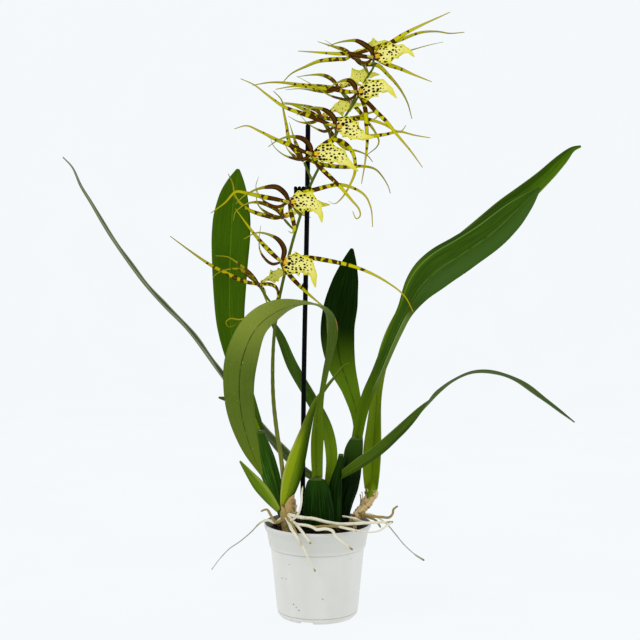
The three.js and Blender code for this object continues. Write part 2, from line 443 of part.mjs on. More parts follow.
// ---------- flowers ----------
// hub: heart of the flower. stem: pedicel from the rachis. tepals: dorsal sepal, two petals, two
// lateral sepals. lip: its midline after the base. span: its full width.
const FRONT = [0, -1, 0.05];
const BACK = [0, 1, 0.05];
const blooms = {
  bloom_front_1: {
    hub: [-39, -20, 397], face: FRONT, stem: [[-36, -1, 383], [-39.5, -8, 394]],
    tepals: [
      [[-49, -24, 406], [-63, -27, 421], [-75, -27, 436], [-89, -24, 455]],
      [[-36, -26, 410], [-41, -30, 420], [-50, -32, 426], [-65, -31, 429], [-80, -27, 422]],
      [[-49, -26, 395], [-57, -31, 401], [-62, -34, 410], [-63, -35, 421], [-61, -34, 437]],
      [[-19, -15, 402], [14, -17, 398], [46, -24, 390], [73, -30, 377], [94, -34, 361], [104, -36, 343]],
      [[-33, -18, 386], [-21, -13, 372], [-8, -13, 360], [14, -16, 342]],
    ],
    lip: [[-27, -29.5, 395], [-15, -32, 394], [-6, -34, 386], [-2, -36, 370]], span: 27,
  },
  bloom_front_2: {
    hub: [-31, -20, 462], face: FRONT, stem: [[-19, -1, 447], [-28, -7, 459]],
    tepals: [
      [[-44, -24, 465], [-60, -28, 468], [-78, -30, 472], [-88, -31, 473], [-100, -34, 461], [-115, -36, 450]],
      [[-35, -26, 471], [-44, -30, 478], [-55, -33, 478], [-67, -34, 475], [-80, -33, 468], [-88, -32, 460]],
      [[-43, -26, 457], [-53, -30, 460], [-61, -36, 467], [-66, -39, 478], [-63, -40, 489]],
      [[-19, -14, 471], [-2, -14, 476], [21, -16, 481], [35, -18, 479], [51, -22, 470], [58, -24, 456],
        [60, -26, 435]],
      [[-29, -19, 452], [-26, -19, 440], [-25, -25, 433], [-27, -42, 429], [-31, -58, 431]],
    ],
    lip: [[-19, -27, 463], [-7, -31, 461], [2, -34, 452], [5, -36, 440]], span: 25,
  },
  bloom_front_3: {
    hub: [-6, -20, 514], face: FRONT, stem: [[1, -2, 499], [-5, -9, 510]],
    tepals: [
      [[-16, -24, 517], [-29, -28, 523], [-44, -30, 529], [-62, -30, 538], [-76, -28, 544], [-90, -24, 541]],
      [[-8, -26, 522], [-14, -30, 529], [-24, -33, 532], [-35, -35, 531], [-46, -35, 526], [-53, -34, 521]],
      [[-17, -26, 508], [-26, -30, 509], [-37, -34, 513], [-47, -38, 522], [-51, -38, 532]],
      [[5, -12, 524], [17, -12, 530], [30, -14, 526], [39, -18, 514], [41, -22, 496], [36, -24, 482],
        [26, -28, 466], [17, -42, 460], [12, -43, 463]],
      [[4, -20, 499], [15, -26, 488], [26, -30, 477], [37, -34, 464], [45, -36, 454], [46, -36, 447],
        [42, -36, 444], [38, -36, 452]],
    ],
    lip: [[7, -27, 515], [22, -31, 512], [34, -34, 503], [44, -35, 495]], span: 25,
  },
  bloom_front_4: {
    hub: [19, -20, 544], face: FRONT, stem: [[20, -2, 535], [20, -9, 540]],
    tepals: [
      [[8, -24, 548], [-7, -27, 554], [-22, -28, 559], [-37, -28, 565], [-55, -26, 578], [-68, -24, 588],
        [-83, -22, 595]],
      [[18, -26, 552], [11, -30, 559], [4, -32, 562], [-5, -33, 563], [-13, -33, 560], [-22, -32, 555]],
      [[15, -26, 541], [8, -28, 538], [-2, -32, 541], [-10, -35, 546], [-19, -37, 555]],
      [[30, -14, 550], [46, -14, 553], [59, -16, 551], [73, -18, 546], [83, -20, 540], [91, -21, 539],
        [96, -22, 545]],
      [[36, -11, 536], [55, -10, 534], [74, -10, 536], [89, -10, 539], [106, -12, 535], [123, -14, 532]],
    ],
    lip: [[31, -27, 543], [42, -31, 536], [51, -34, 532], [61, -35, 531]], span: 25,
  },
  bloom_front_5: {
    hub: [42, -20, 581], face: FRONT, stem: [[36, -2, 565], [41, -9, 577]],
    tepals: [
      [[30, -24, 581], [19, -27, 583], [5, -29, 584], [-9, -30, 585], [-25, -30, 586], [-45, -28, 583]],
      [[40, -26, 587], [35, -30, 592], [28, -33, 592], [21, -35, 589], [11, -37, 583]],
      [[39, -26, 575], [32, -30, 572], [23, -33, 573], [13, -35, 576], [4, -37, 581], [-9, -37, 589],
        [-22, -35, 596]],
      [[56, -20, 568], [64, -24, 559], [74, -28, 549], [85, -32, 535], [100, -35, 517], [113, -36, 499]],
      [[49, -15, 572], [52, -18, 562], [53, -21, 546], [54, -22, 529], [52, -20, 507], [48, -18, 482]],
    ],
    lip: [[54, -27, 582], [66, -31, 586], [76, -34, 583], [85, -35, 573]], span: 23,
  },
  bloom_front_6: {
    hub: [60, -20, 618], face: FRONT, stem: [[61, -9, 613], [61, -12, 614.5]],
    tepals: [
      [[47, -24, 619], [34, -27, 621], [19, -28, 621], [5, -28, 622], [-21, -26, 624]],
      [[58, -26, 625], [51, -30, 630], [42, -33, 634], [35, -34, 634], [23, -35, 632], [11, -34, 628]],
      [[54, -26, 612], [47, -30, 612], [37, -34, 616], [26, -37, 623], [8, -38, 634]],
      [[70, -14, 629], [79, -14, 634], [93, -16, 643], [111, -18, 652], [127, -20, 659], [143, -22, 666]],
      [[76, -16, 611], [89, -20, 606], [104, -24, 599], [123, -28, 591]],
    ],
    lip: [[72, -27, 620], [85, -31, 624], [96, -33, 624], [104, -34, 617]], span: 23,
  },
  bloom_back_1: {
    hub: [-65, 6, 371], face: BACK, stem: [[-45, -4, 344], [-56, 0, 357]],
    tepals: [
      [[-79, 8, 374], [-90, 9, 378], [-102, 9, 384], [-119, 7, 393], [-135, 5, 404], [-163, 1, 425]],
      [[-74, 10, 382], [-83, 13, 390], [-92, 14, 397], [-101, 13, 402], [-114, 12, 403]],
      [[-75, 2, 380], [-85, -1, 388], [-95, -3, 389], [-104, -4, 387], [-112, -5, 383], [-116, -6, 378]],
      [[-53, -2, 372], [-45, -10, 368], [-44, -18, 356], [-61, -22, 341], [-85, -22, 334], [-95, -21, 335],
        [-100, -20, 331], [-97, -19, 326], [-85, -15, 331]],
      [[-61, 22, 364], [-59, 40, 354], [-57, 58, 344]],
    ],
    lip: [[-57, 12, 376], [-46, 16, 382], [-38, 18, 386], [-30, 18, 388]], span: 20, lipFace: [-0.4, 0.5, 1],
  },
  bloom_back_2: {
    hub: [-39, 8, 446], face: BACK, stem: [[-24, -1, 430], [-31, 3, 437]],
    tepals: [
      [[-46, 10, 445], [-59, 14, 448], [-69, 16, 451], [-78, 16, 455], [-87, 14, 463], [-92, 12, 471],
        [-94, 10, 483], [-99, 8, 494]],
      [[-44, 8, 453], [-54, 7, 459], [-64, 6, 462], [-74, 5, 462], [-83, 4, 458], [-91, 3, 451],
        [-93, 2, 442]],
      [[-48, 3, 447], [-58, -1, 452], [-65, -4, 459], [-67, -6, 467], [-67, -8, 476]],
      [[-33, 20, 449], [-26, 36, 452], [-18, 52, 449], [-8, 58, 446]],
      [[-40, 20, 456], [-34, 36, 466], [-25, 52, 470]],
    ],
    lip: [[-28, 14, 451], [-12, 18, 457], [2, 20, 460], [14, 21, 460]], span: 22,
  },
  bloom_back_3: {
    hub: [-16, -4, 509], face: BACK, stem: [[-6, -2, 485], [-9, -2.5, 493]],
    tepals: [
      [[-23, 2, 517], [-31, 10, 528], [-34, 16, 545], [-38, 20, 565], [-40, 20, 576], [-49, 20, 586]],
      [[-21, -6, 520], [-25, -4, 530], [-28, 0, 540], [-31, 4, 550]],
      [[-24, 6, 512], [-33, 20, 521], [-38, 30, 532]],
      [[-8, -3, 508], [4, 1.6, 504], [32, 4, 501], [49, 2, 502], [63, 0, 499], [71, -3, 491],
        [78, -5, 479], [80, -6, 472]],
      [[-19, 8, 512], [-23, 26, 514], [-22, 46, 510]],
    ],
    lip: [[-9, 0.5, 512], [3, 7, 517], [16, 11, 520], [28, 13, 521]], span: 16,
  },
  bloom_back_4: {
    hub: [4, 8, 555], face: BACK, stem: [[15, -2, 526], [12, 2, 541]],
    tepals: [
      [[-7, 12, 561], [-19, 14, 567], [-30, 15, 571], [-44, 15, 571]],
      [[1, 6, 562], [-10, 3, 567], [-24, 2, 570], [-38, 2, 572]],
      [[-6, 16, 551], [-20, 24, 552], [-33, 30, 559]],
      [[23, 8, 554], [43, 6, 556], [53, 3, 559], [63, 2, 561], [66, 2, 557], [58, 2, 551]],
      [[17, 16, 537], [31, 12, 522], [44, 8, 519], [55, 6, 514], [61, 6, 507]],
    ],
    lip: [[13, 13.5, 562], [27, 15, 568], [39, 15, 570], [51, 15, 571]], span: 22,
  },
  bloom_back_5: {
    hub: [23, 8, 588], face: BACK, stem: [[38, -2, 568], [31, 2, 578]],
    tepals: [
      [[5, 12, 590], [-10, 14, 591], [-24, 16, 593], [-40, 17, 595], [-54, 18, 595], [-72, 18, 592]],
      [[20, 6, 593], [13, 5, 599], [4, 5, 602], [-8, 6, 602], [-23, 7, 600]],
      [[14, 16, 585], [1, 22, 586], [-20, 26, 589], [-36, 28, 588]],
      [[36, 26, 594], [46, 48, 596], [51, 70, 596], [54, 86, 593]],
      [[33, 18, 578], [45, 25, 566], [56, 22, 552], [64, 14, 540], [68, 10, 530], [66, 9, 524], [55, 12, 515]],
    ],
    lip: [[33, 12, 596], [46, 17, 602], [58, 20, 604], [69, 21, 604]], span: 22,
  },
  bloom_back_6: {
    hub: [38, 8, 624], face: BACK, stem: [[56, -3, 602], [45, 0, 619]],
    tepals: [
      [[31, 10, 620], [22, 12, 620], [1, 16, 618], [-12, 18, 613], [-29, 20, 605], [-39, 20, 595]],
      [[30, 6, 629], [13, 4, 634], [0, 3, 638]],
      [[54, 11, 622], [80, 14, 623], [106, 16, 631], [124, 16, 636], [139, 14, 639]],
      [[54, 8, 629], [74, 8, 635], [90, 7, 640], [113, 5, 648], [131, 4, 649], [145, 4, 647], [161, 3, 648]],
      [[48, 11, 615], [66, 9, 613], [78, 7, 602], [90, 6, 588], [99, 5, 572], [104, 4, 554]],
    ],
    lip: [[47, 13, 629], [60, 19, 634], [73, 22, 638], [85, 23, 640]], span: 20,
  },
};

function tepals({ hub, face, tepals: routes }) {
  const heart = vec(hub);
  const looks = vec(face).normalize();
  const upward = vec(routes[0][0]).sub(heart).normalize();
  const beak = heart.clone().addScaledVector(looks, 4).addScaledVector(upward, 5);
  const knob = fromGeometry(new THREE.IcosahedronGeometry(HUB_RADIUS, 0).translate(...hub));
  const column = tube([hub, beak.toArray()], [[0, 2.2], [0.5, 2.1], [1, 1.2]], 2, 5);
  return join([knob, column, ...routes.map((route) => tepal([hub, ...route], face))]);
}

function lip({ hub, face, lip: route, span, lipFace = face }, turn) {
  const heart = vec(hub);
  const out = vec(route[0]).sub(heart).normalize();
  const start = heart.clone().addScaledVector(out, HUB_RADIUS + GAP + 0.2);
  const profile = face === FRONT
    ? [[0, 0.3], [0.1, 0.62], [0.22, 0.95], [0.36, 1], [0.5, 0.74], [0.62, 0.58], [0.75, 0.32], [0.88, 0.18],
      [1, 0.08]]
    : [[0, 0.26], [0.32, 0.34], [0.44, 0.95], [0.58, 0.88], [0.72, 0.55], [0.86, 0.26], [1, 0.08]];
  const plate = blade({
    route: [start.toArray(), ...route],
    width: profile.map(([t, w]) => [t, w * span]),
    face: lipFace,
    thick: LIP_THICK,
    stations: 6,
    ease: 1,
    pull: 2,
    fold: [[0, 0.2], [0.3, 0.05], [1, -0.3]],
    wave: (t, u) => 1.5 * u * u * Math.sin(14 * t + 2.4 * u + turn) * Math.sin(Math.PI * t),
  });
  const seat = start.clone().addScaledVector(out, 3.2).addScaledVector(vec(lipFace).normalize(), 0.6);
  const callus = new THREE.IcosahedronGeometry(2.1, 0).translate(...seat.toArray());
  return plate.add(fromGeometry(callus));
}

// one body: the rachis, a short pedicel to every flower and a dry bract under each
function spike() {
  const parts = [tube(RACHIS, RACHIS_RADIUS, 27, 5)];
  for (const { hub, stem } of Object.values(blooms)) {
    const heart = vec(hub);
    const back = vec(stem.at(-1)).sub(heart).normalize();
    const end = heart.clone().addScaledVector(back, HUB_RADIUS + GAP);
    parts.push(tube([...stem, end.toArray()], [[0, 1], [0.5, 1.3], [1, 1.1]], 2, 5));
  }
  return join(parts);
}

// ---------- the object ----------
const paint = (color, roughness, metalness = 0) => new THREE.MeshStandardMaterial({ color, roughness, metalness });
const FINISH = {
  pot: paint('#d9dcde', 0.5),
  bark: paint('#2a1a18', 0.95),
  black: paint('#0b0b0d', 0.4),
  bulb: paint('#1f3d12', 0.5),
  leaf: paint('#2f5a14', 0.45),
  leafDark: paint('#16380c', 0.4),
  leafOlive: paint('#5f7a32', 0.5),
  leafYoung: paint('#7d9a1e', 0.45),
  papery: paint('#b59468', 0.85),
  stem: paint('#557a22', 0.55),
  tepal: paint('#8c7d1c', 0.55),
  lip: paint('#e3df6a', 0.6),
  root: paint('#d8d2bd', 0.8),
};

const orchid = new THREE.Group();
orchid.name = 'brassia_orchid';

function place(name, body, material) {
  const shell = body.getMesh();
  const geometry = new THREE.BufferGeometry();
  geometry.setAttribute('position', new THREE.BufferAttribute(new Float32Array(shell.vertProperties), 3));
  geometry.setIndex(Array.from(shell.triVerts));
  geometry.computeVertexNormals();
  const mesh = new THREE.Mesh(geometry, material.clone());
  mesh.name = name;
  orchid.add(mesh);
}

place('pot', pot(), FINISH.pot);
place('substrate', substrate(), FINISH.bark);
place('stake', stake(), FINISH.black);
place('clip', clip(), FINISH.black);
for (const [name, make] of Object.entries(bulbs)) place(name, make(), FINISH.bulb);
const leafFinish = { leaf_arch: 'leafOlive', leaf_back_dark: 'leafDark', leaf_young: 'leafYoung',
  leaf_young_small: 'leafYoung' };
for (const [name, shape] of Object.entries(leaves)) {
  place(name, blade(shape), FINISH[leafFinish[name] ?? 'leaf']);
}
place('sheath_left', sheathLeft(), FINISH.papery);
place('sheath_right', sheathRight(), FINISH.papery);
place('roots_left', rootsLeft(), FINISH.root);
place('roots_right', rootsRight(), FINISH.root);
place('spike', spike(), FINISH.stem);
Object.entries(blooms).forEach(([name, bloom], i) => {
  place(`${name}_tepals`, tepals(bloom), FINISH.tepal);
  place(`${name}_lip`, lip(bloom, i * 1.3), FINISH.lip);
});

export default orchid;
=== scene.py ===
# %% [markdown]
# # A spider orchid in flower
# A brassia in a nursery pot: a clump of pseudobulbs with strap leaves, a staked spike with two ranks of
# long-petalled flowers, and white roots that creep over the rim. The solids arrive packed and true to size.
# This lesson builds a finer skin for each of them on nearly the same routes, then gives every skin the
# colour and surface of the real tissue. It starts with small tools, goes on from the pot to the flowers,
# and ends with light and camera. Each finish comes just before the pieces that wear it.

import bmesh
import bpy
import numpy as np
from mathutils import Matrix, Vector


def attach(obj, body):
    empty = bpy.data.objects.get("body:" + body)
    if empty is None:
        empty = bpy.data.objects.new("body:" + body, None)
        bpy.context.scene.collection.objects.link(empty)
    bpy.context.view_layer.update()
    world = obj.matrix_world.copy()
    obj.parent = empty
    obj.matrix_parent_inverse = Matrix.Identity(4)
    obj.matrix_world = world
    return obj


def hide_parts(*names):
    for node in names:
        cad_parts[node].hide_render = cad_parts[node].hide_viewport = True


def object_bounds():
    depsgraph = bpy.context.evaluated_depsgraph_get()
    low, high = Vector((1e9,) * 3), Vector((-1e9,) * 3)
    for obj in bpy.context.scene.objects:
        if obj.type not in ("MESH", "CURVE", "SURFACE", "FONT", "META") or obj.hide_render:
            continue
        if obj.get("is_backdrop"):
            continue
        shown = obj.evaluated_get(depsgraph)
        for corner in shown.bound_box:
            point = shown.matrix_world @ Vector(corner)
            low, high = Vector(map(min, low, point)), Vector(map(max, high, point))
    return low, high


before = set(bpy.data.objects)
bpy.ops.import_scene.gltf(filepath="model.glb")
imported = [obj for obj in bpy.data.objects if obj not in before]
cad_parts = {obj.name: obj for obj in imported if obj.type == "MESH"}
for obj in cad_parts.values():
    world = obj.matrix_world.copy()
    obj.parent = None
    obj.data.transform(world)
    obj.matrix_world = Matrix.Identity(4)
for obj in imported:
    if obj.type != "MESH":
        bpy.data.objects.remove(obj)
cad_low, cad_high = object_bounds()
print("solids:", len(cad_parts), "height in mm:", round(1000 * (cad_high.z - cad_low.z), 1))

# %% [markdown]
# ## Routes and frames
# Stems, roots, leaves and tepals are all long and thin, so one idea makes them all: a smooth curve through
# a few given points, a little frame of directions carried along it, and a cross-section set at each
# stop. Beziers with a bevel would do for plain tubes, but a leaf turns its face as it goes, and here the
# facing direction is stated along the way. The curve is a centripetal Catmull-Rom, which never loops
# between points.

# %% Values along a strip
def unit(rows):
    """Each row as a direction of length one."""
    return rows / np.maximum(np.linalg.norm(rows, axis=-1, keepdims=True), 1e-9)


def ramp(pairs, t):
    """Values at t from [t, value] pairs; one plain value stands for the same all along."""
    if not isinstance(pairs, list) or not isinstance(pairs[0], list):
        return np.broadcast_to(np.asarray(pairs, float), (len(t),) + np.shape(pairs))
    stops = [stop for stop, _ in pairs]
    values = np.array([value for _, value in pairs], float)
    if values.ndim == 1:
        return np.interp(t, stops, values)
    return np.stack([np.interp(t, stops, column) for column in values.T], axis=1)


def soften(values, passes):
    """Rounds the corners of a list of values and keeps both ends."""
    values = np.array(values, float)
    for _ in range(passes):
        values[1:-1] = (values[:-2] + 2 * values[1:-1] + values[2:]) / 4
    return values


print("a ramp from 2 to 4, halfway:", ramp([[0, 2], [1, 4]], np.array([0.5])))

# %% The smooth curve through a route, in millimetres
STEPS_PER_SPAN = 40


def travel(route, stations, ease=1.0):
    """Stops along the curve and its length; an ease above one sets the stops closer towards the tip."""
    p = np.array(route, float)
    p = np.vstack([2 * p[0] - p[1], p, 2 * p[-1] - p[-2]])
    s = np.linspace(0, 1, STEPS_PER_SPAN, endpoint=False)[:, None]
    fine = []
    for a, b, c, d in zip(p, p[1:], p[2:], p[3:]):
        # knots spaced by the root of the distance; leave and arrive are the slopes at b and c
        k0, k1, k2 = [max(np.linalg.norm(v - u), 1e-4) ** 0.5 for u, v in ((a, b), (b, c), (c, d))]
        leave = ((b - a) / k0 - (c - a) / (k0 + k1) + (c - b) / k1) * k1
        arrive = ((c - b) / k1 - (d - b) / (k1 + k2) + (d - c) / k2) * k1
        bend = 3 * (c - b) - 2 * leave - arrive
        fine.append(b + leave * s + bend * s**2 + (2 * (b - c) + leave + arrive) * s**3)
    fine = np.vstack([*fine, p[-2:-1]])
    run = np.r_[0, np.cumsum(np.linalg.norm(np.diff(fine, axis=0), axis=1))]
    t = 1 - (1 - np.linspace(0, 1, stations + 1)) ** ease
    at = np.stack([np.interp(t * run[-1], run, column) for column in fine.T], axis=1)
    return t, at, run[-1]


arch = [[0, 0, 0], [30, 0, 60], [60, 0, 0]]
print("length of a small arch in mm:", round(travel(arch, 20)[2], 1))


# %% The frame carried along the curve
def spine(route, stations, face=(0, -1, 0), pull=0.5, ease=1.0):
    """Stops, facing normals and side directions; pull is how firmly the normal is held to the given face."""
    t, at, length = travel(route, stations, ease)
    along = unit(np.gradient(at, axis=0))
    guide = ramp(face, t)
    guide = guide - along * (guide * along).sum(1, keepdims=True)
    normal = guide.copy()
    carried = guide[0]
    for i, direction in enumerate(along):
        carried = unit(carried - direction * (carried @ direction))
        carried = unit(carried + guide[i] * pull)
        normal[i] = carried
    return t, at, normal, unit(np.cross(along, normal)), length


print("side direction at the foot of the arch:", spine(arch, 20)[3][0].round(2))

# %% [markdown]
# ## Skins and pieces
# A skin is a row of equal rings closed at both ends. Each point also stores where it lies on its strip:
# across from -1 to 1, along from 0 to 1, which face it is on, and its distance from the foot in metres,
# shifted by a seed so that no two skins share a pattern. The finishes read that attribute, so veins, bands
# and stains follow the tissue and not the object's axes. A UV map could carry two of the four numbers, and
# the attribute holds them all.


# %% Rings to a closed skin
def strip_values(shape, across, along, front, run):
    """The four strip numbers of every point of the rings."""
    return np.stack([np.broadcast_to(part, shape) for part in (across, along, front, run)], axis=-1)


def skin(rings, strip):
    """Points, faces and strip values of a closed skin; every ring has an even number of points."""
    stops, n = rings.shape[:2]
    i = np.arange(stops - 1)[:, None] * n
    j = np.arange(n)[None, :]
    k = (j + 1) % n
    faces = np.stack([i + j, i + k, i + n + k, i + n + j], axis=-1).reshape(-1, 4)
    lid = np.array([[q, n - 1 - q, n - 2 - q, q + 1] for q in range(n // 2 - 1)])
    faces = np.vstack([faces, lid, lid[:, ::-1] + (stops - 1) * n])
    points = rings.reshape(-1, 3)
    corner = points[faces]
    swept = np.cross(corner[:, 2] - corner[:, 0], corner[:, 3] - corner[:, 1])
    if (corner.mean(1) * swept).sum() < 0:
        faces = faces[:, ::-1]
    return points, faces, strip.reshape(-1, 4)


print("strip numbers of a point halfway along a midrib:", strip_values((1, 4), 0, 0.5, 1, 0.02)[0, 0])


# %% Several skins to one mesh, held inside the box of the solids
MM = 0.001  # in metres
pieces = []


def piece(name, node, finishes, shells, smooth=True):
    """Each shell is a (points, faces, strip values, finish number) set; the mesh takes its solid's place."""
    all_points, all_faces, all_strips, all_numbers = zip(*shells)
    starts = np.cumsum([0] + [len(points) for points in all_points])
    points = np.clip(np.vstack(all_points) * MM, np.array(cad_low), np.array(cad_high))
    faces = [face for rows, start in zip(all_faces, starts) for face in (np.asarray(rows) + start).tolist()]
    numbers = np.repeat(all_numbers, [len(rows) for rows in all_faces])
    mesh = bpy.data.meshes.new(name)
    mesh.from_pydata(points.tolist(), [], faces)
    mesh.polygons.foreach_set("use_smooth", np.full(len(faces), smooth))
    mesh.polygons.foreach_set("material_index", numbers.astype(np.int32))
    strip = mesh.attributes.new("strip", "FLOAT_COLOR", "POINT")
    strip.data.foreach_set("color", np.vstack(all_strips).astype(np.float32).ravel())
    for finish in finishes:
        mesh.materials.append(finish)
    made = bpy.data.objects.new(name, mesh)
    bpy.context.scene.collection.objects.link(made)
    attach(made, "root")
    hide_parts(node)
    pieces.append(made)


print("pieces may fill, in mm:", [round(1000 * v, 1) for v in (*cad_low, *cad_high)])

# %% [markdown]
# ## Two cross-sections
# A tube for stalks and roots, and a blade for leaves and lips. A leaf is thick along its midrib, which is a
# groove above and a ridge below, and thins out to its margins. The tube takes a list of radii, so the same
# call makes a straight stake and a knobbly root. A blade may have its margins cut into lobes and waved.
# Lofting a drawn profile would do the same, and a formula for the section keeps the point counts of all
# rings equal.


# %% Tube
def tube(route, radius, stations, sides=12, rough=0.0, seed=0.0, round_tip=True):
    """A round section; rough is how knobbly it is, in parts of the radius."""
    t, at, normal, side, length = spine(route, stations)
    r = ramp(radius, t)
    if round_tip:
        left = (1 - t) * length
        r = r * np.sqrt(np.clip(1 - (1 - np.minimum(left / np.maximum(r, 0.1), 1)) ** 2, 0.02, 1))
    turn = np.linspace(0, 2 * np.pi, sides, endpoint=False)
    swell = np.sin(t[:, None] * length * 0.55 + seed * 3) * np.sin(2 * turn + seed + 5 * t[:, None])
    r = r[:, None] * (1 + rough * swell)
    rings = at[:, None] + side[:, None] * (r * np.cos(turn))[..., None]
    rings = rings + normal[:, None] * (r * np.sin(turn))[..., None]
    return skin(rings, strip_values(r.shape, np.cos(turn), t[:, None], 1.0, t[:, None] * length * MM + seed))


print("faces of a short tube:", len(tube(arch, 2, 20)[1]))


# %% Blade
def blade(route, width, face, fold=0.0, thick=0.9, stations=80, columns=17, pull=1.0, ease=1.15,
          wave=None, rib=0.35, seed=0.0, passes=14, cut=None):
    """A flat section: fold lifts the margins, rib sinks the midrib, wave ruffles and cut notches."""
    t, at, normal, side, length = spine(route, stations, face, pull, ease)
    half = soften(ramp(width, t), passes)[:, None] / 2
    # u runs across the blade, with more columns near the midrib
    s = np.linspace(-1, 1, columns)
    u = s * (0.45 + 0.55 * s**2)
    lift = soften(ramp(fold, t), passes)[:, None] * half * np.abs(u) ** 1.3
    if wave:
        lift = lift + wave(t[:, None], u[None, :])
    reach = half * u * (cut(t[:, None], np.sign(u)[None, :]) if cut else 1)
    depth = thick * np.sqrt(1 - 0.9 * u**2) / 2
    groove = rib * np.exp(-((u * half / 0.9) ** 2)) * np.minimum(half / 5, 1)
    base = at[:, None] + side[:, None] * reach[..., None]
    front = base + normal[:, None] * (lift + depth - groove)[..., None]
    back = base + normal[:, None] * (lift - depth - groove)[..., None]
    rings = np.concatenate([front, back[:, ::-1]], axis=1)
    facing = np.repeat([1.0, 0.0], columns)
    return skin(rings, strip_values(rings.shape[:2], np.r_[u, u[::-1]], t[:, None], facing,
                                    t[:, None] * length * MM + seed))


print("faces of a short blade:", len(blade(arch, 20, (0, -1, 0))[1]))

# %% [markdown]
# ## Finishes
# Plant tissue is thin, damp and waxy: a dielectric with an IOR near 1.4, satin rather than glossy, and
# never one flat colour. Each finish starts from a real tissue, lays its pattern along the strip and puts
# the finest relief into the bump. Colours are sRGB hex values, turned to linear by one function. The
# helpers below are steps of painting: a grain, a mottle, a coat of colour between limits, and the last step
# that closes a finish. Painted maps would be quicker to hang on a surface, and steps of noise need no files
# and take their scale from real millimetres.


# %% Colour, and one way to add a node
def tint(code):
    """sRGB hex to the linear colour that a socket expects."""
    steps = [int(code[i:i + 2], 16) / 255 for i in (1, 3, 5)]
    return [c / 12.92 if c <= 0.04045 else ((c + 0.055) / 1.055) ** 2.4 for c in steps] + [1.0]


def add(tree, kind, links, **settings):
    """Adds a node; links fills its sockets with hex colours, numbers or other nodes."""
    made = tree.nodes.new("ShaderNode" + kind)
    for key, value in settings.items():
        setattr(made, key, value)
    for key, value in links.items():
        if isinstance(value, bpy.types.Node):
            value = next(socket for socket in value.outputs if socket.enabled)
        if isinstance(value, bpy.types.NodeSocket):
            tree.links.new(value, made.inputs[key])
        else:
            made.inputs[key].default_value = tint(value) if isinstance(value, str) else value
    return made


print("middle grey in linear light:", round(tint("#808080")[0], 3))


# %% The start of a finish
def begin(name, roughness, ior=1.4, specular=0.1):
    """A new finish with constant gloss, and the values that its strip carries."""
    made = bpy.data.materials.new(name)
    made.use_nodes = True
    tree = made.node_tree
    shader = tree.nodes["Principled BSDF"]
    shader.inputs["Roughness"].default_value = roughness
    shader.inputs["IOR"].default_value = ior
    shader.inputs["Specular IOR Level"].default_value = specular
    stored = add(tree, "Attribute", {}, attribute_name="strip")
    split = add(tree, "SeparateColor", {0: stored.outputs["Color"]}).outputs
    edge = add(tree, "Math", {0: split[0]}, operation="ABSOLUTE")
    strip = {"across": split[0], "edge": edge, "along": split[1], "front": split[2],
             "run": stored.outputs["Alpha"]}
    return made, tree, shader, strip


print("materials that came with the solids:", len(bpy.data.materials))


# %% Noise along the strip and through the piece
def grain(tree, strip, rows, cell_mm, detail=3):
    """Noise drawn out along the strip: rows of cells to each side, every cell so long."""
    x = add(tree, "Math", {0: strip["across"], 1: rows}, operation="MULTIPLY")
    y = add(tree, "Math", {0: strip["run"], 1: 1000 / cell_mm}, operation="MULTIPLY")
    z = add(tree, "Math", {0: strip["front"], 1: 2 * rows}, operation="MULTIPLY")
    place = add(tree, "CombineXYZ", {0: x, 1: y, 2: z})
    return add(tree, "TexNoise", {"Vector": place, "Scale": 1.0, "Detail": detail, "Roughness": 0.6})


def mottle(tree, cell_mm, detail=3):
    """Noise through the whole piece, its cells as large as given."""
    place = add(tree, "TexCoord", {}).outputs["Object"]
    cells = 1000 / cell_mm
    return add(tree, "TexNoise", {"Vector": place, "Scale": cells, "Detail": detail, "Roughness": 0.6})


print("cells in a metre, for a mottle of 2.4 mm:", round(1000 / 2.4))


# %% Coats of colour and the last step
def coat(tree, below, colour, *limits, most=1.0):
    """Lays a colour over the one below, where every (value, from, to) limit is passed."""
    cover = most
    for value, low, high in limits:
        passed = add(tree, "MapRange", {0: value, 1: low, 2: high}, interpolation_type="SMOOTHSTEP")
        cover = add(tree, "Math", {0: cover, 1: passed}, operation="MULTIPLY")
    return add(tree, "Mix", {0: cover, 6: below, 7: colour}, data_type="RGBA")


def close(tree, shader, colour, height, depth_mm):
    """Ends a finish: its colour, and a relief so many millimetres deep."""
    bump = add(tree, "Bump", {"Strength": 0.8, "Distance": depth_mm * MM, "Height": height})
    tree.links.new(colour.outputs[2], shader.inputs["Base Color"])
    tree.links.new(bump.outputs[0], shader.inputs["Normal"])


print("a coat a quarter of the way into its limit covers:", 0.25**2 * (3 - 2 * 0.25))

# %% [markdown]
# ## Pot plastic
# The pot is injection-moulded polypropylene: satin, slightly warm, with faint flow bands down the wall.
# Painted shade darkens the two moulded lines, greys the collar and darkens the inside, and watering leaves a
# few dark splashes. A painted map would be quicker, and placed marks stay sharp however close the camera
# comes.

# %% Pot finish
# Painted shade lines by their height in millimetres; splashes of wet bark by angle in degrees, height and
# radius
GROOVE_SHADE_LINES = (6.4, 78.3)
SPLASHES = [(218, 49, 1.1), (226, 49.5, 0.9), (233, 67, 0.8), (236, 22, 1.1), (240, 19, 0.9), (244, 16, 1.1),
            (277, 30, 0.9), (315, 72, 0.7), (230, 3, 1.0), (40, 60, 0.9), (100, 35, 1.1), (150, 70, 0.9)]
WALL_RADIUS = 44.7  # of the wall carried down to the bench, in millimetres
WALL_TAPER = 0.0976  # millimetres outwards for each millimetre up


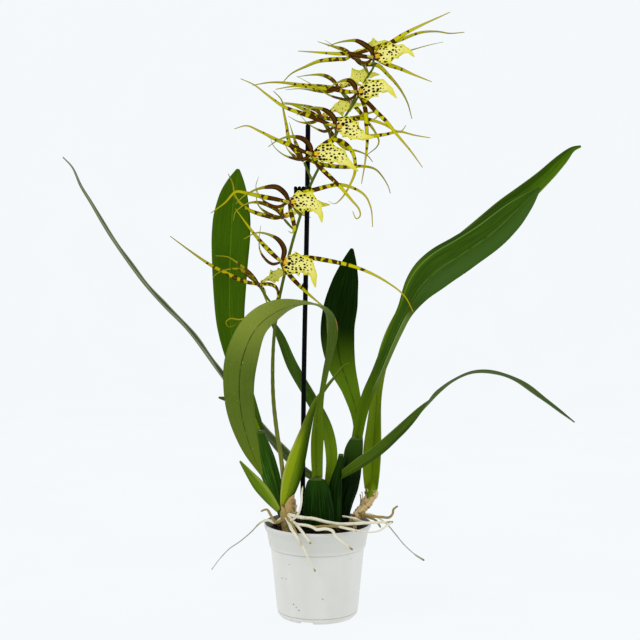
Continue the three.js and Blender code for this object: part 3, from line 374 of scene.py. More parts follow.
def moulded_polypropylene(name):
    made, tree, shader, strip = begin(name, 0.42, 1.49, 0.3)
    place = add(tree, "TexCoord", {}).outputs["Object"]
    tall = add(tree, "Mapping", {0: place, 3: (45, 45, 4)})
    flow = add(tree, "TexNoise", {"Vector": tall, "Scale": 1.0, "Detail": 2})
    colour = coat(tree, "#d5d4cd", "#dbdad4", (flow, 0.3, 0.7))
    colour = coat(tree, colour, "#cfd0c9", (mottle(tree, 40), 0.45, 0.75), most=0.5)
    # painted shade: from 78 mm up the collar and rim are painted greyer
    colour = coat(tree, colour, "#cdccc5", (strip["run"], 0.078, 0.084), most=0.8)
    # painted shade: the inside is painted dark grey-brown
    colour = coat(tree, colour, "#4c483e", (strip["front"], 0.4, 0.1), most=0.85)
    # painted shade: a dark grey line along each of the two moulded grooves
    for line in GROOVE_SHADE_LINES:
        off = add(tree, "Math", {0: strip["run"], 1: line * MM}, operation="SUBTRACT")
        off = add(tree, "Math", {0: off}, operation="ABSOLUTE")
        colour = coat(tree, colour, "#9b9e94", (off, 0.8 * MM, 0.2 * MM), most=0.6)
    for turn, height, size in SPLASHES:
        out = WALL_RADIUS + WALL_TAPER * height
        spot = (out * np.cos(np.radians(turn)) * MM, out * np.sin(np.radians(turn)) * MM, height * MM)
        off = add(tree, "VectorMath", {0: place, 1: spot}, operation="DISTANCE")
        colour = coat(tree, colour, "#4d4838", (off.outputs["Value"], size * MM, 0.5 * size * MM), most=0.8)
    close(tree, shader, colour, flow, 0.15)
    return made


pot_plastic = moulded_polypropylene("moulded_polypropylene")
print("splashes on the pot:", len(SPLASHES))

# %% [markdown]
# ## Pot
# A nursery pot is a lathe form with a wall about a millimetre and a half thick: a foot ring with four drain
# notches, a slightly tapered wall, a collar that lets pots stack, and a rolled rim. A screw modifier on a
# drawn profile would turn it too, and this lathe also stores the strip. The profile's corners are softened,
# which gives the small highlights that a moulded edge shows. The notches are vertices of the foot ring,
# lifted.

# %% Lathe forms
CORNER_STEPS = 4


def softened(profile, radius):
    """Rounds each corner of a profile with a short curve."""
    points = [np.array(p, float) for p in profile]
    made = [points[0]]
    for before, corner, after in zip(points, points[1:], points[2:]):
        into = min(radius, np.linalg.norm(before - corner) * 0.45)
        out = min(radius, np.linalg.norm(after - corner) * 0.45)
        first = corner + (before - corner) / np.linalg.norm(before - corner) * into
        last = corner + (after - corner) / np.linalg.norm(after - corner) * out
        for s in np.linspace(0, 1, CORNER_STEPS + 1):
            made.append((1 - s) ** 2 * first + 2 * s * (1 - s) * corner + s**2 * last)
    return np.array([*made, points[-1]])


def lathe(profile, sides):
    """A closed skin from a profile that starts and ends near the axis."""
    turn = np.linspace(0, 2 * np.pi, sides, endpoint=False)
    r = np.maximum(profile[:, :1], 0.02)
    height = profile[:, 1:]
    rings = np.stack([r * np.cos(turn), r * np.sin(turn), np.broadcast_to(height, (len(r), sides))], axis=-1)
    return skin(rings, strip_values(rings.shape[:2], np.cos(turn), height / height.max(),
                                    0.5 + 0.5 * np.sin(turn), height * MM))


print("points of a step with softened corners:", len(softened([[0, 0], [9, 0], [9, 9], [0, 9]], 1)))


# %% The pot itself, in millimetres
POT_SIDES = 240
FOOT_RADIUS = 41.5
NOTCHES = (-107, -17, 73, 163)  # degrees
NOTCH_HALF_WIDTH = 7
NOTCH_HEIGHT = 3
NOTCH_FROM = 33  # the flat bottom lies inside this radius and keeps its height

pot_bottom = [[0, 0], [9, 0], [10, 3], [37, 3], [38, 0], [FOOT_RADIUS, 0]]
pot_outside = [[44.6, 3], [45, 5.8], [44.6, 6.4], [45.4, 7], [45.7, 10], [52.3, 77.6], [53.8, 78.6],
               [56.4, 94], [59.2, 100], [60, 102], [60, 105]]
pot_inside = [[58.6, 105], [55, 95], [51, 76], [44, 10], [42.6, 5], [0, 5]]
pot_profile = softened(pot_bottom + pot_outside + pot_inside, 0.9)
pot_points, pot_faces, pot_strip = lathe(pot_profile, POT_SIDES)
# the inside is painted dark as shade, so its rings carry a zero
outside = np.arange(len(pot_profile)) <= pot_profile[:, 1].argmax()
pot_strip[:, 2] = np.repeat(outside, POT_SIDES)
for notch in NOTCHES:
    out = np.array([np.cos(np.radians(notch)), np.sin(np.radians(notch)), 0])
    beside = np.abs(pot_points @ np.array([-out[1], out[0], 0])) < NOTCH_HALF_WIDTH
    lifted = beside & (pot_points @ out > NOTCH_FROM) & (pot_points[:, 2] < NOTCH_HEIGHT)
    pot_points[lifted, 2] = NOTCH_HEIGHT - 0.05
piece("nursery_pot", "pot", [pot_plastic], [(pot_points, pot_faces, pot_strip, 0)])
print("pot faces:", len(pot_faces))

# %% [markdown]
# ## Bark
# Orchids grow in chunks of fir bark with a little coir, damp, matt and almost black, so the bed swallows
# light under the pale roots. It is a low mound with a lumpy skin, and on it lie loose chips. A chip is the
# convex hull of a few scattered points, which gives the split flat faces of real bark at once. A particle
# system would scatter instances, and real meshes keep every chip in the piece.


# %% Bark and coir finishes
def bark(name, dark, light):
    made, tree, shader, _ = begin(name, 0.75)
    fibres = mottle(tree, 2.4, 5)
    close(tree, shader, coat(tree, dark, light, (fibres, 0.4, 0.72)), fibres, 0.8)
    return made


bed_finishes = [bark("damp_bark", "#0e0805", "#2c1c13"), bark("bark_chip_brown", "#22130a", "#4a301d"),
                bark("coir_fibre", "#5e4526", "#8a6b3e")]
DAMP, BROWN, COIR = range(3)
print("bark finishes:", len(bed_finishes))

# %% Mound, in millimetres
SOIL_EDGE = 99
SOIL_MOUND = 8
MOUND_SIDES = 160
# what stands in the bark: place, half width and half depth
FEET = {
    "bulb_front": [1, -24, 17.8, 10], "bulb_cut": [18.5, -6, 8.5, 6], "bulb_right": [27, 9, 9, 7],
    "bulb_left": [-38, -3, 5, 4], "spike": [-35, -20, 2, 2], "stake": [-16.4, 6, 2.7, 2.5],
    "roots_left": [-34, -30, 5.2, 5.2], "sheath_right": [40, -8, 4.5, 4.5],
}


def mound(x, y):
    """The height of the bark at a place."""
    r = np.hypot(x, y)
    lumps = 0.7 * np.sin(x * 0.52 + 1.3) * np.cos(y * 0.61 + 0.4) + 0.4 * np.sin(x * 1.3 - y * 1.1)
    return SOIL_EDGE + SOIL_MOUND * (1 - (r / 50) ** 2) + lumps * np.clip((52 - r) / 6, 0, 1)


edge = [[0, 5.4], [42.1, 5.4], [43.5, 10.2], [50.4, 76], [53.5, 93]]
crown = [[r, 0] for r in np.linspace(52.4, 0, 34)]
soil_points, soil_faces, soil_strip = lathe(np.array(edge + crown, float), MOUND_SIDES)
top = soil_points[:, 2] == 0
soil_points[top, 2] = mound(soil_points[top, 0], soil_points[top, 1])
print("top of the bark in mm:", round(soil_points[:, 2].max(), 1))


# %% One chip and one fibre
dice = np.random.default_rng(7)
BED_RADIUS = 50  # the middles of the chips, and all of each fibre, lie within this distance


def chip(x, y, long, wide, thick):
    """One bark chip: the hull of fourteen points in a tilted box."""
    spread = dice.uniform(-0.5, 0.5, (14, 3)) * [long, wide, thick]
    yaw, pitch = dice.uniform(0, np.pi), dice.normal(0, 0.3)
    s, c = np.sin(pitch), np.cos(pitch)
    spread = spread @ np.array([[c, 0, -s], [0, 1, 0], [s, 0, c]])
    s, c = np.sin(yaw), np.cos(yaw)
    spread = spread @ np.array([[c, s, 0], [-s, c, 0], [0, 0, 1]])
    build = bmesh.new()
    for p in spread + [x, y, mound(x, y) + thick * 0.1]:
        build.verts.new(p)
    hull = bmesh.ops.convex_hull(build, input=build.verts)
    loose = [v for v in hull["geom_interior"] if isinstance(v, bmesh.types.BMVert)]
    bmesh.ops.delete(build, geom=loose, context="VERTS")
    build.verts.index_update()
    points = np.array([v.co for v in build.verts])
    faces = [[v.index for v in f.verts] for f in build.faces]
    build.free()
    return points, faces, np.zeros((len(points), 4))


def fibre(x, y):
    """One coir fibre: a thin crooked tube."""
    heading = dice.uniform(0, 2 * np.pi)
    steps = np.arange(4)[:, None] * [np.cos(heading), np.sin(heading)] * dice.uniform(2, 5)
    place = steps + dice.normal(0, 1, (4, 2)) + [x, y]
    place = place * np.minimum(1, BED_RADIUS / np.maximum(np.linalg.norm(place, axis=1, keepdims=True), 1))
    height = mound(place[:, 0], place[:, 1]) + dice.uniform(0.5, 3, 4)
    return tube(np.c_[place, height].tolist(), 0.28, 14, 6)


print("height of the bark at the edge of the bed, in mm:", round(mound(BED_RADIUS, 0), 1))


# %% The strewn bed
CHIPS = 239
FIBRES = 46
SMALL_FROM = 44  # chips are smaller beyond this distance, and no fibre starts there
CHIP_REACH = 53  # no chip reaches beyond this distance, so all stay clear of the wall


def anywhere(reach):
    """A random place within reach of the middle: its distance from there, and x and y."""
    r, turn = reach * np.sqrt(dice.random()), dice.uniform(0, 2 * np.pi)
    return r, r * np.cos(turn), r * np.sin(turn)


def is_free(x, y, room):
    """Whether a place lies outside everything that stands in the bark."""
    return all(((x - foot_x) / (w + room)) ** 2 + ((y - foot_y) / (d + room)) ** 2 > 1
               for foot_x, foot_y, w, d in FEET.values())


bed = [(soil_points, soil_faces, soil_strip, DAMP)]
while len(bed) <= CHIPS:
    r, x, y = anywhere(BED_RADIUS)
    long = dice.uniform(5, 13) * (0.6 if r > SMALL_FROM else 1)
    if is_free(x, y, long * 0.55) and r + long / 2 < CHIP_REACH:
        made = chip(x, y, long, long * dice.uniform(0.45, 0.7), dice.uniform(2.5, 4.8))
        bed.append((*made, BROWN if dice.random() < 0.3 else DAMP))
for _ in range(FIBRES):
    bed.append((*fibre(*anywhere(SMALL_FROM)[1:]), COIR))
piece("bark_bed", "substrate", bed_finishes, bed, smooth=False)
print("chips and fibres:", len(bed) - 1)

# %% [markdown]
# ## Stake and clip
# The stake is a steel rod in a black plastic coat, with a small bead above half way, and an orchid clip of
# glossier black plastic hugs rod and stalk. Black plastic shows only as its highlights, so both finishes
# are nearly black with a little wear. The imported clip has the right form, so it stays and gets a bevel and
# a finish; the rod is swept again with a rounder section and a domed end. A cylinder would do for a
# straight rod, and this one leans and bends a little.


# %% Black plastic finishes
def black_plastic(name, roughness):
    made, tree, shader, _ = begin(name, roughness, 1.49, 0.05)
    wear = mottle(tree, 3)
    close(tree, shader, coat(tree, "#020303", "#090a0a", (wear, 0.45, 0.75)), wear, 0.1)
    return made


stake_black = black_plastic("stake_coating", 0.45)
clip_black = black_plastic("clip_plastic", 0.3)
print("black plastics:", stake_black.name, clip_black.name)

# %% Stake and clip, in millimetres
STAKE_FOOT = [-17.5, 6, 20]
STAKE_TOP = [-10.4, 6, 551]
STAKE_RADIUS = 2.7
rod = tube([STAKE_FOOT, [-15.2, 6, 268], [-11.4, 6, 460], STAKE_TOP], STAKE_RADIUS, 120, 32)
bead = tube([[-13.9, 6, 366], [-13.8, 6, 374]], [[0, 2.8], [0.25, 3.5], [0.75, 3.5], [1, 3]], 16, 32)
piece("stake_rod", "stake", [stake_black], [(*rod, 0), (*bead, 0)])

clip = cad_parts["clip"]
clip.data.materials.clear()
clip.data.materials.append(clip_black)
bevel = clip.modifiers.new("moulded edge", "BEVEL")
bevel.width = 0.5 * MM
bevel.segments = 3
bevel.angle_limit = np.radians(35)
print("stake height in mm:", STAKE_TOP[2])

# %% [markdown]
# ## Pseudobulbs
# A pseudobulb is a swollen, flattened stem, a ribbed flask that narrows into its leaf, under the same wax
# as the leaves: dark green stripes between the ribs, and a paler crown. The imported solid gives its
# sections; between them the skin runs in a smooth curve, and fourteen shallow ribs wander a little as they
# rise. Sculpting would give the same form by hand, and the sections keep it on its solid.


# %% Bulb finishes
def bulb_tissue(name, dark, light, top, crown, crown_from):
    """crown is the paler green that starts crown_from of the way up."""
    made, tree, shader, strip = begin(name, 0.5, 1.42, 0.05)
    stripes = grain(tree, strip, 12, 40, 4)
    colour = coat(tree, dark, light, (stripes, 0.48, 0.68))
    colour = coat(tree, colour, dark, (mottle(tree, 25), 0.4, 0.75), most=0.4)
    colour = coat(tree, colour, crown, (strip["along"], crown_from, 1.0), most=0.7)
    colour = coat(tree, colour, top, (strip["along"], 0.975, 0.985), most=0.5)
    close(tree, shader, colour, stripes, 0.35)
    return made


bulb_green = bulb_tissue("pseudobulb_green", "#0a2100", "#234a06", "#5d6b2c", "#1c3a04", 0.6)
bulb_dark = bulb_tissue("pseudobulb_dark", "#061600", "#12300a", "#5d6b2c", "#33500e", 0.55)
bulb_striped = bulb_tissue("pseudobulb_striped", "#23450a", "#4d781e", "#5f6a30", "#33550c", 0.6)
bulb_finishes = {"bulb_front": bulb_green, "bulb_cut": bulb_green, "bulb_right": bulb_dark,
                 "bulb_left": bulb_striped}
print("bulb finishes:", sorted({finish.name for finish in bulb_finishes.values()}))

# %% Bulb sections from the bark up: x, y, z, half width, half depth in millimetres
bulb_sections = {
    "bulb_front": [[1, -24, 122, 17.4, 10], [0.5, -24, 136, 15.8, 9.5], [0, -24, 146, 14, 8.5],
                   [-0.5, -24, 153, 11.8, 7.2], [-0.8, -24, 157.4, 9.8, 6], [-1, -24, 159, 6.4, 4.8]],
    "bulb_cut": [[18.5, -6, 124, 8.8, 6], [19, -6, 138, 8.6, 6], [20, -6, 150, 7.4, 5.6],
                 [22.5, -6, 163, 5, 4.6], [25, -6, 173, 3.4, 3.4], [26.3, -6, 183, 2.8, 2.6]],
    "bulb_right": [[30, 9, 124, 10, 8], [34.5, 9, 140, 11.5, 8.6], [37.5, 8, 156, 11.5, 8.8],
                   [39.3, 7, 172, 11, 8.4], [40.6, 6, 186, 10.6, 7.8], [42.6, 6, 195, 8.6, 6.8],
                   [44.4, 6, 200, 6.4, 5.6]],
    "bulb_left": [[-42, -1, 124, 6, 4.6], [-48, 3, 142, 9.5, 6], [-54, 6, 160, 11.5, 7], [-59, 9, 178, 11, 7],
                  [-63, 11, 193, 8.6, 6], [-65.5, 12, 202, 6.6, 5.4], [-66, 12, 206, 6.4, 5.2]],
}
print("bulbs:", len(bulb_sections))

# %% One flask for each bulb
STEM_DEPTH = 92  # stems and bulbs start at this height, below the top of the bark
RIBS = 14
RIB_DEPTH = 0.022  # in parts of the radius
FLASK_STOPS = 110
FLASK_SIDES = 112


def bulb(name, sections, seed):
    x, y, w, d = FEET[name]
    rows = np.array([[x, y, STEM_DEPTH, w, d], [x, y, 110, w, d], *sections], float)
    z = np.linspace(rows[0, 2], rows[-1, 2], FLASK_STOPS)
    fine = [soften(np.interp(z, rows[:, 2], column), 12)[:, None] for column in rows.T]
    middle_x, middle_y, _, half_w, half_d = fine
    turn = np.linspace(0, 2 * np.pi, FLASK_SIDES, endpoint=False)
    t = ((z - z[0]) / (z[-1] - z[0]))[:, None]
    ribs = 1 + np.cos(RIBS * turn + 1.5 * np.sin(2 * t + seed))
    rib = 1 - RIB_DEPTH * ribs * np.sin(np.pi * np.clip(t, 0, 0.96))
    rings = np.stack([middle_x + half_w * rib * np.cos(turn), middle_y + half_d * rib * np.sin(turn),
                      np.broadcast_to(z[:, None], rib.shape)], axis=-1)
    strip = strip_values(rib.shape, np.cos(turn), t, 0.5 + 0.5 * np.sin(turn), z[:, None] * MM + seed)
    piece(name + "_flask", name, [bulb_finishes[name]], [(*skin(rings, strip), 0)])
    print(name, "rises to mm:", z[-1])


for number, (name, sections) in enumerate(bulb_sections.items()):
    bulb(name, sections, number * 0.7)

# %% [markdown]
# ## Dry bracts
# Each growth starts in a few bracts that dry to paper: fibres run along them, they are matt, and they tear
# at the edge. On the left a few short ones stand by the roots. On the right they have rotted back to a
# ringed neck that carries a leaf, with shreds still standing off it. Cloth could be torn by simulation, and
# a blade with a strong wave is lighter and stays where it is put.


# %% Dry bract finishes
def dry_bract(name, pale, brown):
    made, tree, shader, strip = begin(name, 0.85, specular=0.15)
    fibres = grain(tree, strip, 6, 20, 4)
    colour = coat(tree, pale, "#b3955c", (fibres, 0.35, 0.65))
    colour = coat(tree, colour, brown, (mottle(tree, 8), 0.5, 0.66))
    close(tree, shader, colour, fibres, 0.4)
    return made


bract_tan = dry_bract("dry_bract", "#d6c294", "#6f4a26")
bract_grey = dry_bract("weathered_bract", "#c2b594", "#7a6440")
bract_brown = dry_bract("brown_bract", "#a98f5e", "#7a5730")
print("dry papers:", bract_tan.name, bract_grey.name, bract_brown.name)


# %% Torn strips of dry bract
def flutter(height, along, across, seed=0.0, edge_only=True):
    """A wave for a papery blade, so many millimetres high."""
    def wave(t, u):
        rise = height * np.sin(along * t + across * u + seed)
        return rise * u * u if edge_only else rise
    return wave


def shred(foot, lean, tall, wide, seed):
    """A strip that stands on its foot and curls outwards."""
    foot, lean = np.array(foot, float), np.array(lean, float)
    curl = ((0, 0), (0.4, 0.1), (0.8, 0.5), (1, 1))
    route = [foot + [0, 0, tall * rise] + lean * out for rise, out in curl]
    return blade([p.tolist() for p in route], [[0, wide], [0.5, wide * 0.9], [0.8, wide * 0.4], [1, 0.3]],
                 [lean[0] + 0.1, lean[1] - 0.2, 0.1], -0.5, 0.3, 18, 7, rib=0,
                 wave=flutter(0.5, 9, 5, seed), seed=seed)


shreds_left = [shred([-29, -33.4, 120], [-2.5, -1.2, 0], 13, 3.4, 1),
               shred([-23.6, -33.6, 121], [1.5, -1.6, 0], 11, 2.8, 2)]
print("faces of one shred:", len(shreds_left[0][1]))

# %% Left sheath
inner = blade([[-27, -33.2, 121.5], [-26.5, -33.9, 130], [-24.4, -34.2, 138]],
              [[0, 6], [0.4, 8], [0.8, 5], [1, 1.5]], [0.3, -1, 0], -0.4, 0.7, 26, 13, rib=0,
              wave=flutter(0.4, 12, 4, edge_only=False), seed=0.2)
outer = blade([[-33.4, -35.4, 122], [-31.7, -36.2, 129], [-28.6, -36, 137], [-25.4, -35.4, 143]],
              [[0, 7], [0.3, 10.5], [0.7, 7.5], [1, 1]], [-0.15, -1, 0], -0.55, 0.5, 40, 15, rib=0.1,
              wave=flutter(0.35, 15, 5), seed=0.4)
low = blade([[-37, -35.2, 120], [-37.6, -36, 126], [-39.8, -35, 131]], [[0, 5], [0.4, 6], [1, 1]],
            [0, -1, 0.1], -0.5, 0.5, 30, 13, rib=0.1, seed=0.6)
left = [(*inner, 0), (*outer, 1), (*low, 1)] + [(*made, 0) for made in shreds_left]
piece("sheath_left_paper", "sheath_left", [bract_grey, bract_brown], left)
print("strips of the left sheath:", len(left))

# %% Right sheath: a ringed neck and nine shreds that stand off it
NECK_STOPS = 160
NECK_FOOT = np.array([47.5, -1, 117])
NECK_TOP = np.array([62, 6, 138])
neck = [[0, 4.2], [0.2, 4.2], [0.3, 5.4], [0.4, 5.0], [0.5, 5.6], [0.6, 5.2], [0.7, 6], [0.82, 6.2],
        [0.9, 7.6], [1, 7.2]]
stops = np.linspace(0, 1, NECK_STOPS)
ringed = [[t, r + 0.28 * np.sin(t * 95)] for t, r in zip(stops, ramp(neck, stops))]
neck_route = [[40, -8, STEM_DEPTH], [40, -8, 106], [41.5, -7, 110], NECK_FOOT.tolist(), [55.5, 3.5, 126],
              [60, 6, 134], [60.8, 6.3, 140.6]]
right = [(*tube(neck_route, ringed, 150, 32, 0.05, round_tip=False), 0)]
for number in range(9):
    turn = number * 2.4
    s = 0.25 + 0.075 * number
    foot = NECK_FOOT * (1 - s) + NECK_TOP * s
    out = np.array([np.cos(turn), np.sin(turn), 0])
    lean, tall, wide = out * dice.uniform(1, 3.5), dice.uniform(7, 15), dice.uniform(2, 4.5)
    right.append((*shred(foot + out * 5, lean, tall, wide, number), 0))
piece("sheath_right_paper", "sheath_right", [bract_tan], right)
print("shreds of the right sheath:", len(right) - 1)

# %% [markdown]
# ## Aerial roots
# Orchid roots wear velamen, a spongy white sleeve with a matt, chalky look, tan where it is old and green
# where the tip still grows. They are cords that taper slowly, wander over the bark and hang over the rim,
# some forked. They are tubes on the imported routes, slightly knobbly, with a rounded growing tip. Curves
# with a bevel would look the same, and a mesh tube carries the strip that places their stains.


# %% Root finishes
def velamen(name, pale, chalky, outer):
    """outer is the colour beyond the first third."""
    made, tree, shader, strip = begin(name, 0.75)
    chalk = mottle(tree, 1.1)
    stains = grain(tree, strip, 0.5, 24)
    colour = coat(tree, pale, chalky, (chalk, 0.35, 0.65))
    colour = coat(tree, colour, outer, (strip["along"], 0.22, 0.42), most=0.85)
    colour = coat(tree, colour, "#a08850", (stains, 0.57, 0.68), most=0.7)
    colour = coat(tree, colour, "#5e4320", (stains, 0.71, 0.78), most=0.8)
    colour = coat(tree, colour, "#8c8a40", (strip["along"], 0.93, 0.97))
    colour = coat(tree, colour, "#54421c", (strip["along"], 0.975, 0.995))
    close(tree, shader, colour, chalk, 0.15)
    return made


root_finishes = [velamen("root_velamen", "#c3bb96", "#ebe9da", "#dcd8c2"),
                 velamen("old_root_velamen", "#8a6a38", "#b79860", "#8f8250"),
                 velamen("shrunken_root_velamen", "#c4c49c", "#e2e1cb", "#8b9088")]
WHITE, OLD, SHRUNKEN = range(3)
print("root finishes:", len(root_finishes))

# %% Roots: route, radius at the start, radius at the tip, in millimetres
left_roots = [
    [[[-36, -32, 119], [-46, -31, 111.5], [-54, -27, 113], [-63, -21, 109], [-73, -22, 99], [-85, -24, 89],
      [-97, -26, 81], [-107, -28, 71], [-117, -30, 58]], 2.0, 0.4],
    [[[-38, -34, 114], [-46, -40, 114], [-51, -42, 122], [-55, -42, 128], [-62, -42, 126]], 1.7, 0.9],
    [[[-35, -34, 119], [-31, -44, 114], [-28, -57, 110], [-22, -65, 103], [-14, -65.5, 89], [-9, -64, 78],
      [-2, -61, 64]], 1.9, 0.8],
    [[[-34, -33, 121], [-24, -45, 113], [-18, -58, 109], [-12, -66, 103], [-7, -67, 96]], 1.9, 1.1],
    [[[-35, -31, 121], [-18, -45, 120], [-3, -48, 119], [8, -48, 116], [23, -46, 113], [41, -44, 113],
      [58, -40, 113], [83, -36, 113]], 2.1, 1.1],
    [[[-31, -44, 114], [-22, -43, 122], [-18, -42, 133], [-17, -41, 145], [-16, -40, 154]], 1.5, 0.7],
    [[[-34, -35, 117], [-22, -48, 113], [-12, -53, 113], [-4, -56, 111], [-1, -60, 110], [9, -61, 111],
      [16, -64, 109.5], [20, -67, 104], [28, -67, 97], [38, -65, 89]], 1.9, 1.1],
    [[[-12, -53, 113], [-3, -53, 111], [5, -54, 112], [23, -54, 112], [32, -56, 111], [44, -58, 108]],
     1.8, 1.2],
    [[[28, -25, 117], [34, -30, 117], [42, -33, 116], [48, -38, 114], [55, -41, 113]], 1.1, 1.4],
    [[[41, -63, 110], [55, -60, 107], [67, -52, 107], [76, -44, 111], [82, -36, 113]], 0.9, 1.2],
    [[[23, -54, 112], [32, -60, 111], [42, -63, 110]], 1.4, 1],
    [[[-35, -34, 119], [-31, -43, 116], [-27, -51, 112], [-23.5, -58, 107], [-21, -63, 101.5]], 1.7, 1.1],
]
right_roots = [
    [[[51, -8, 115], [58, -15, 115], [71, -20, 115], [79, -22, 115], [83, -22, 119], [84, -22, 124],
      [89, -22, 128]], 1.7, 1],
    [[[51, -8, 116], [60, -8, 115], [68, -8, 111.5], [79, -10, 103], [86, -12, 95], [96, -14, 83],
      [108, -15, 72], [119, -16, 65]], 1.5, 1.0],
    [[[51, -8, 114], [58, -4, 110.5], [65, -2, 107.5], [71, -2, 99]], 1.3, 1.1],
]
print("roots:", len(left_roots), "on the left and", len(right_roots), "on the right")


# %% Two bunches of roots, each with its heart
def bunch(name, node, heart, roots, old, shrunken):
    """old and shrunken: the numbers of the roots that have browned, and of those that hang dry in the air."""
    shells = [(*heart, OLD)]
    for number, (route, start, end) in enumerate(roots):
        length = travel(route, 20)[2]
        swell = [[0, start], [0.3, start * 0.9], [0.7, (start + end) / 2 + 0.1], [1, end]]
        kind = OLD if number in old else WHITE
        if number in shrunken:
            swell = [[0, start], [0.2, start * 0.8], [0.38, 0.7], [0.82, 0.5], [0.9, end], [1, end]]
            kind = SHRUNKEN
        shells.append((*tube(route, swell, int(length), 14, 0.07, number * 1.7), kind))
    piece(name, node, root_finishes, shells)
    print(name, "roots:", len(roots))


heart_left = tube([[-34, -30, STEM_DEPTH], [-34, -30, 106], [-36, -32.2, 120], [-36.2, -31.5, 127.8]],
                  [[0, 5], [0.8, 5], [1, 3.6]], 40, 24, 0.08)
heart_right = tube([[51, -8, 112], [51, -8, 119]], [[0, 1.8], [0.5, 2.8], [1, 2.4]], 16, 20, 0.08)
bunch("roots_left_cords", "roots_left", heart_left, left_roots, (1, 7, 11), (0,))
bunch("roots_right_cords", "roots_right", heart_right, right_roots, (0, 2), (1,))

# %% [markdown]
# ## Leaf tissue
# An orchid leaf is a leathery strap: parallel veins about a millimetre apart, a groove along the midrib, a
# paler underside and a thin light margin. Its cuticle is waxy and takes a broad satin sheen. The veins are
# noise drawn out to forty-five millimetres along the strap, coarser than the real ones so that they show.
# Bands of one leaf alone, its own colours or painted light and shade such as a margin lit through, are coats
# between limits on its strip. A scanned leaf would bring real veins, and noise on the strip bends with every
# leaf.

# %% Leaf finish
VEIN_ROWS = 9  # noise cells from the midrib to each margin
VEIN_LENGTH = 45  # millimetres


def leaf_tissue(name, dark, light, under, foot, midrib, gloss=(0.5, 0.1), specks=0.0, foot_band=(0.3, 0.0),
                bands=()):
    """gloss is roughness and specular; a band is a colour, how much of it, and limits on strip values."""
    made, tree, shader, strip = begin(name, gloss[0], 1.42, gloss[1])
    veins = grain(tree, strip, VEIN_ROWS, VEIN_LENGTH, 4)
    colour = coat(tree, dark, light, (veins, 0.34, 0.68))
    below = coat(tree, under, light, (veins, 0.4, 0.8))
    colour = add(tree, "Mix", {0: strip["front"], 6: below, 7: colour}, data_type="RGBA")
    colour = coat(tree, colour, dark, (mottle(tree, 45), 0.4, 0.75), most=0.35)
    colour = coat(tree, colour, foot, (strip["along"], *foot_band))
    for shade, most, *limits in bands:
        colour = coat(tree, colour, shade, *[(strip[way], low, high) for way, low, high in limits], most=most)
    broken = (grain(tree, strip, 1, 9), 0.3, 0.55)
    colour = coat(tree, colour, midrib, (strip["edge"], 0.05, 0.015), broken, most=0.8)
    colour = coat(tree, colour, under, (strip["edge"], 0.965, 1.0), most=0.5)
    if specks:
        colour = coat(tree, colour, dark, (grain(tree, strip, 14, 1.6, 1), 0.66, 0.72), most=specks)
        colour = coat(tree, colour, "#b9bf8e", (grain(tree, strip, 9, 2.4, 1), 0.74, 0.78), most=specks)
    close(tree, shader, colour, grain(tree, strip, 26, 50, 2), 0.25)
    return made


print("veins:", 2 * VEIN_ROWS, "rows,", VEIN_LENGTH, "mm long")


# %% Finishes of the leaves on the left and at the back
leaf_finishes = {
    # a painted highlight where it folds over the top, a little rust on its outer edge
    "leaf_arch": leaf_tissue(
        "leaf_underside_olive", "#3a4f0c", "#4c6214", "#56681b", "#526a00", "#182404",
        specks=0.8, foot_band=(0.36, 0.12),
        bands=[("#818f34", 0.9, ("along", 0.42, 0.47), ("along", 0.74, 0.6)),
               ("#5a6c0a", 0.8, ("along", 0.88, 0.98)),
               ("#a07040", 0.8, ("along", 0.37, 0.38), ("along", 0.405, 0.395), ("edge", 0.82, 0.95))]),
    "leaf_back_left": leaf_tissue(
        "leaf_deep_green", "#395902", "#436403", "#4a6410", "#3e5a10", "#557a0a", gloss=(0.55, 0.05)),
    # painted shade: this leaf stands in shade, so it is painted near black; its foot is yellow-green
    "leaf_back_dark": leaf_tissue(
        "leaf_green_painted_shade", "#091b01", "#112a01", "#1c3804", "#5a7811", "#0a1602",
        gloss=(0.6, 0.03), foot_band=(0.6, 0.22)),
    "leaf_far_left": leaf_tissue(
        "leaf_grey_green", "#414c26", "#56643a", "#67744e", "#3c5a10", "#8b967a",
        bands=[("#a3ab8c", 0.6, ("edge", 0.75, 0.9))]),
    "leaf_diagonal": leaf_tissue(
        "leaf_diagonal_green", "#2c4608", "#42600e", "#3c5a14", "#6b8806", "#4a6626", foot_band=(0.62, 0.3)),
}
print("leaf finishes so far:", len(leaf_finishes))

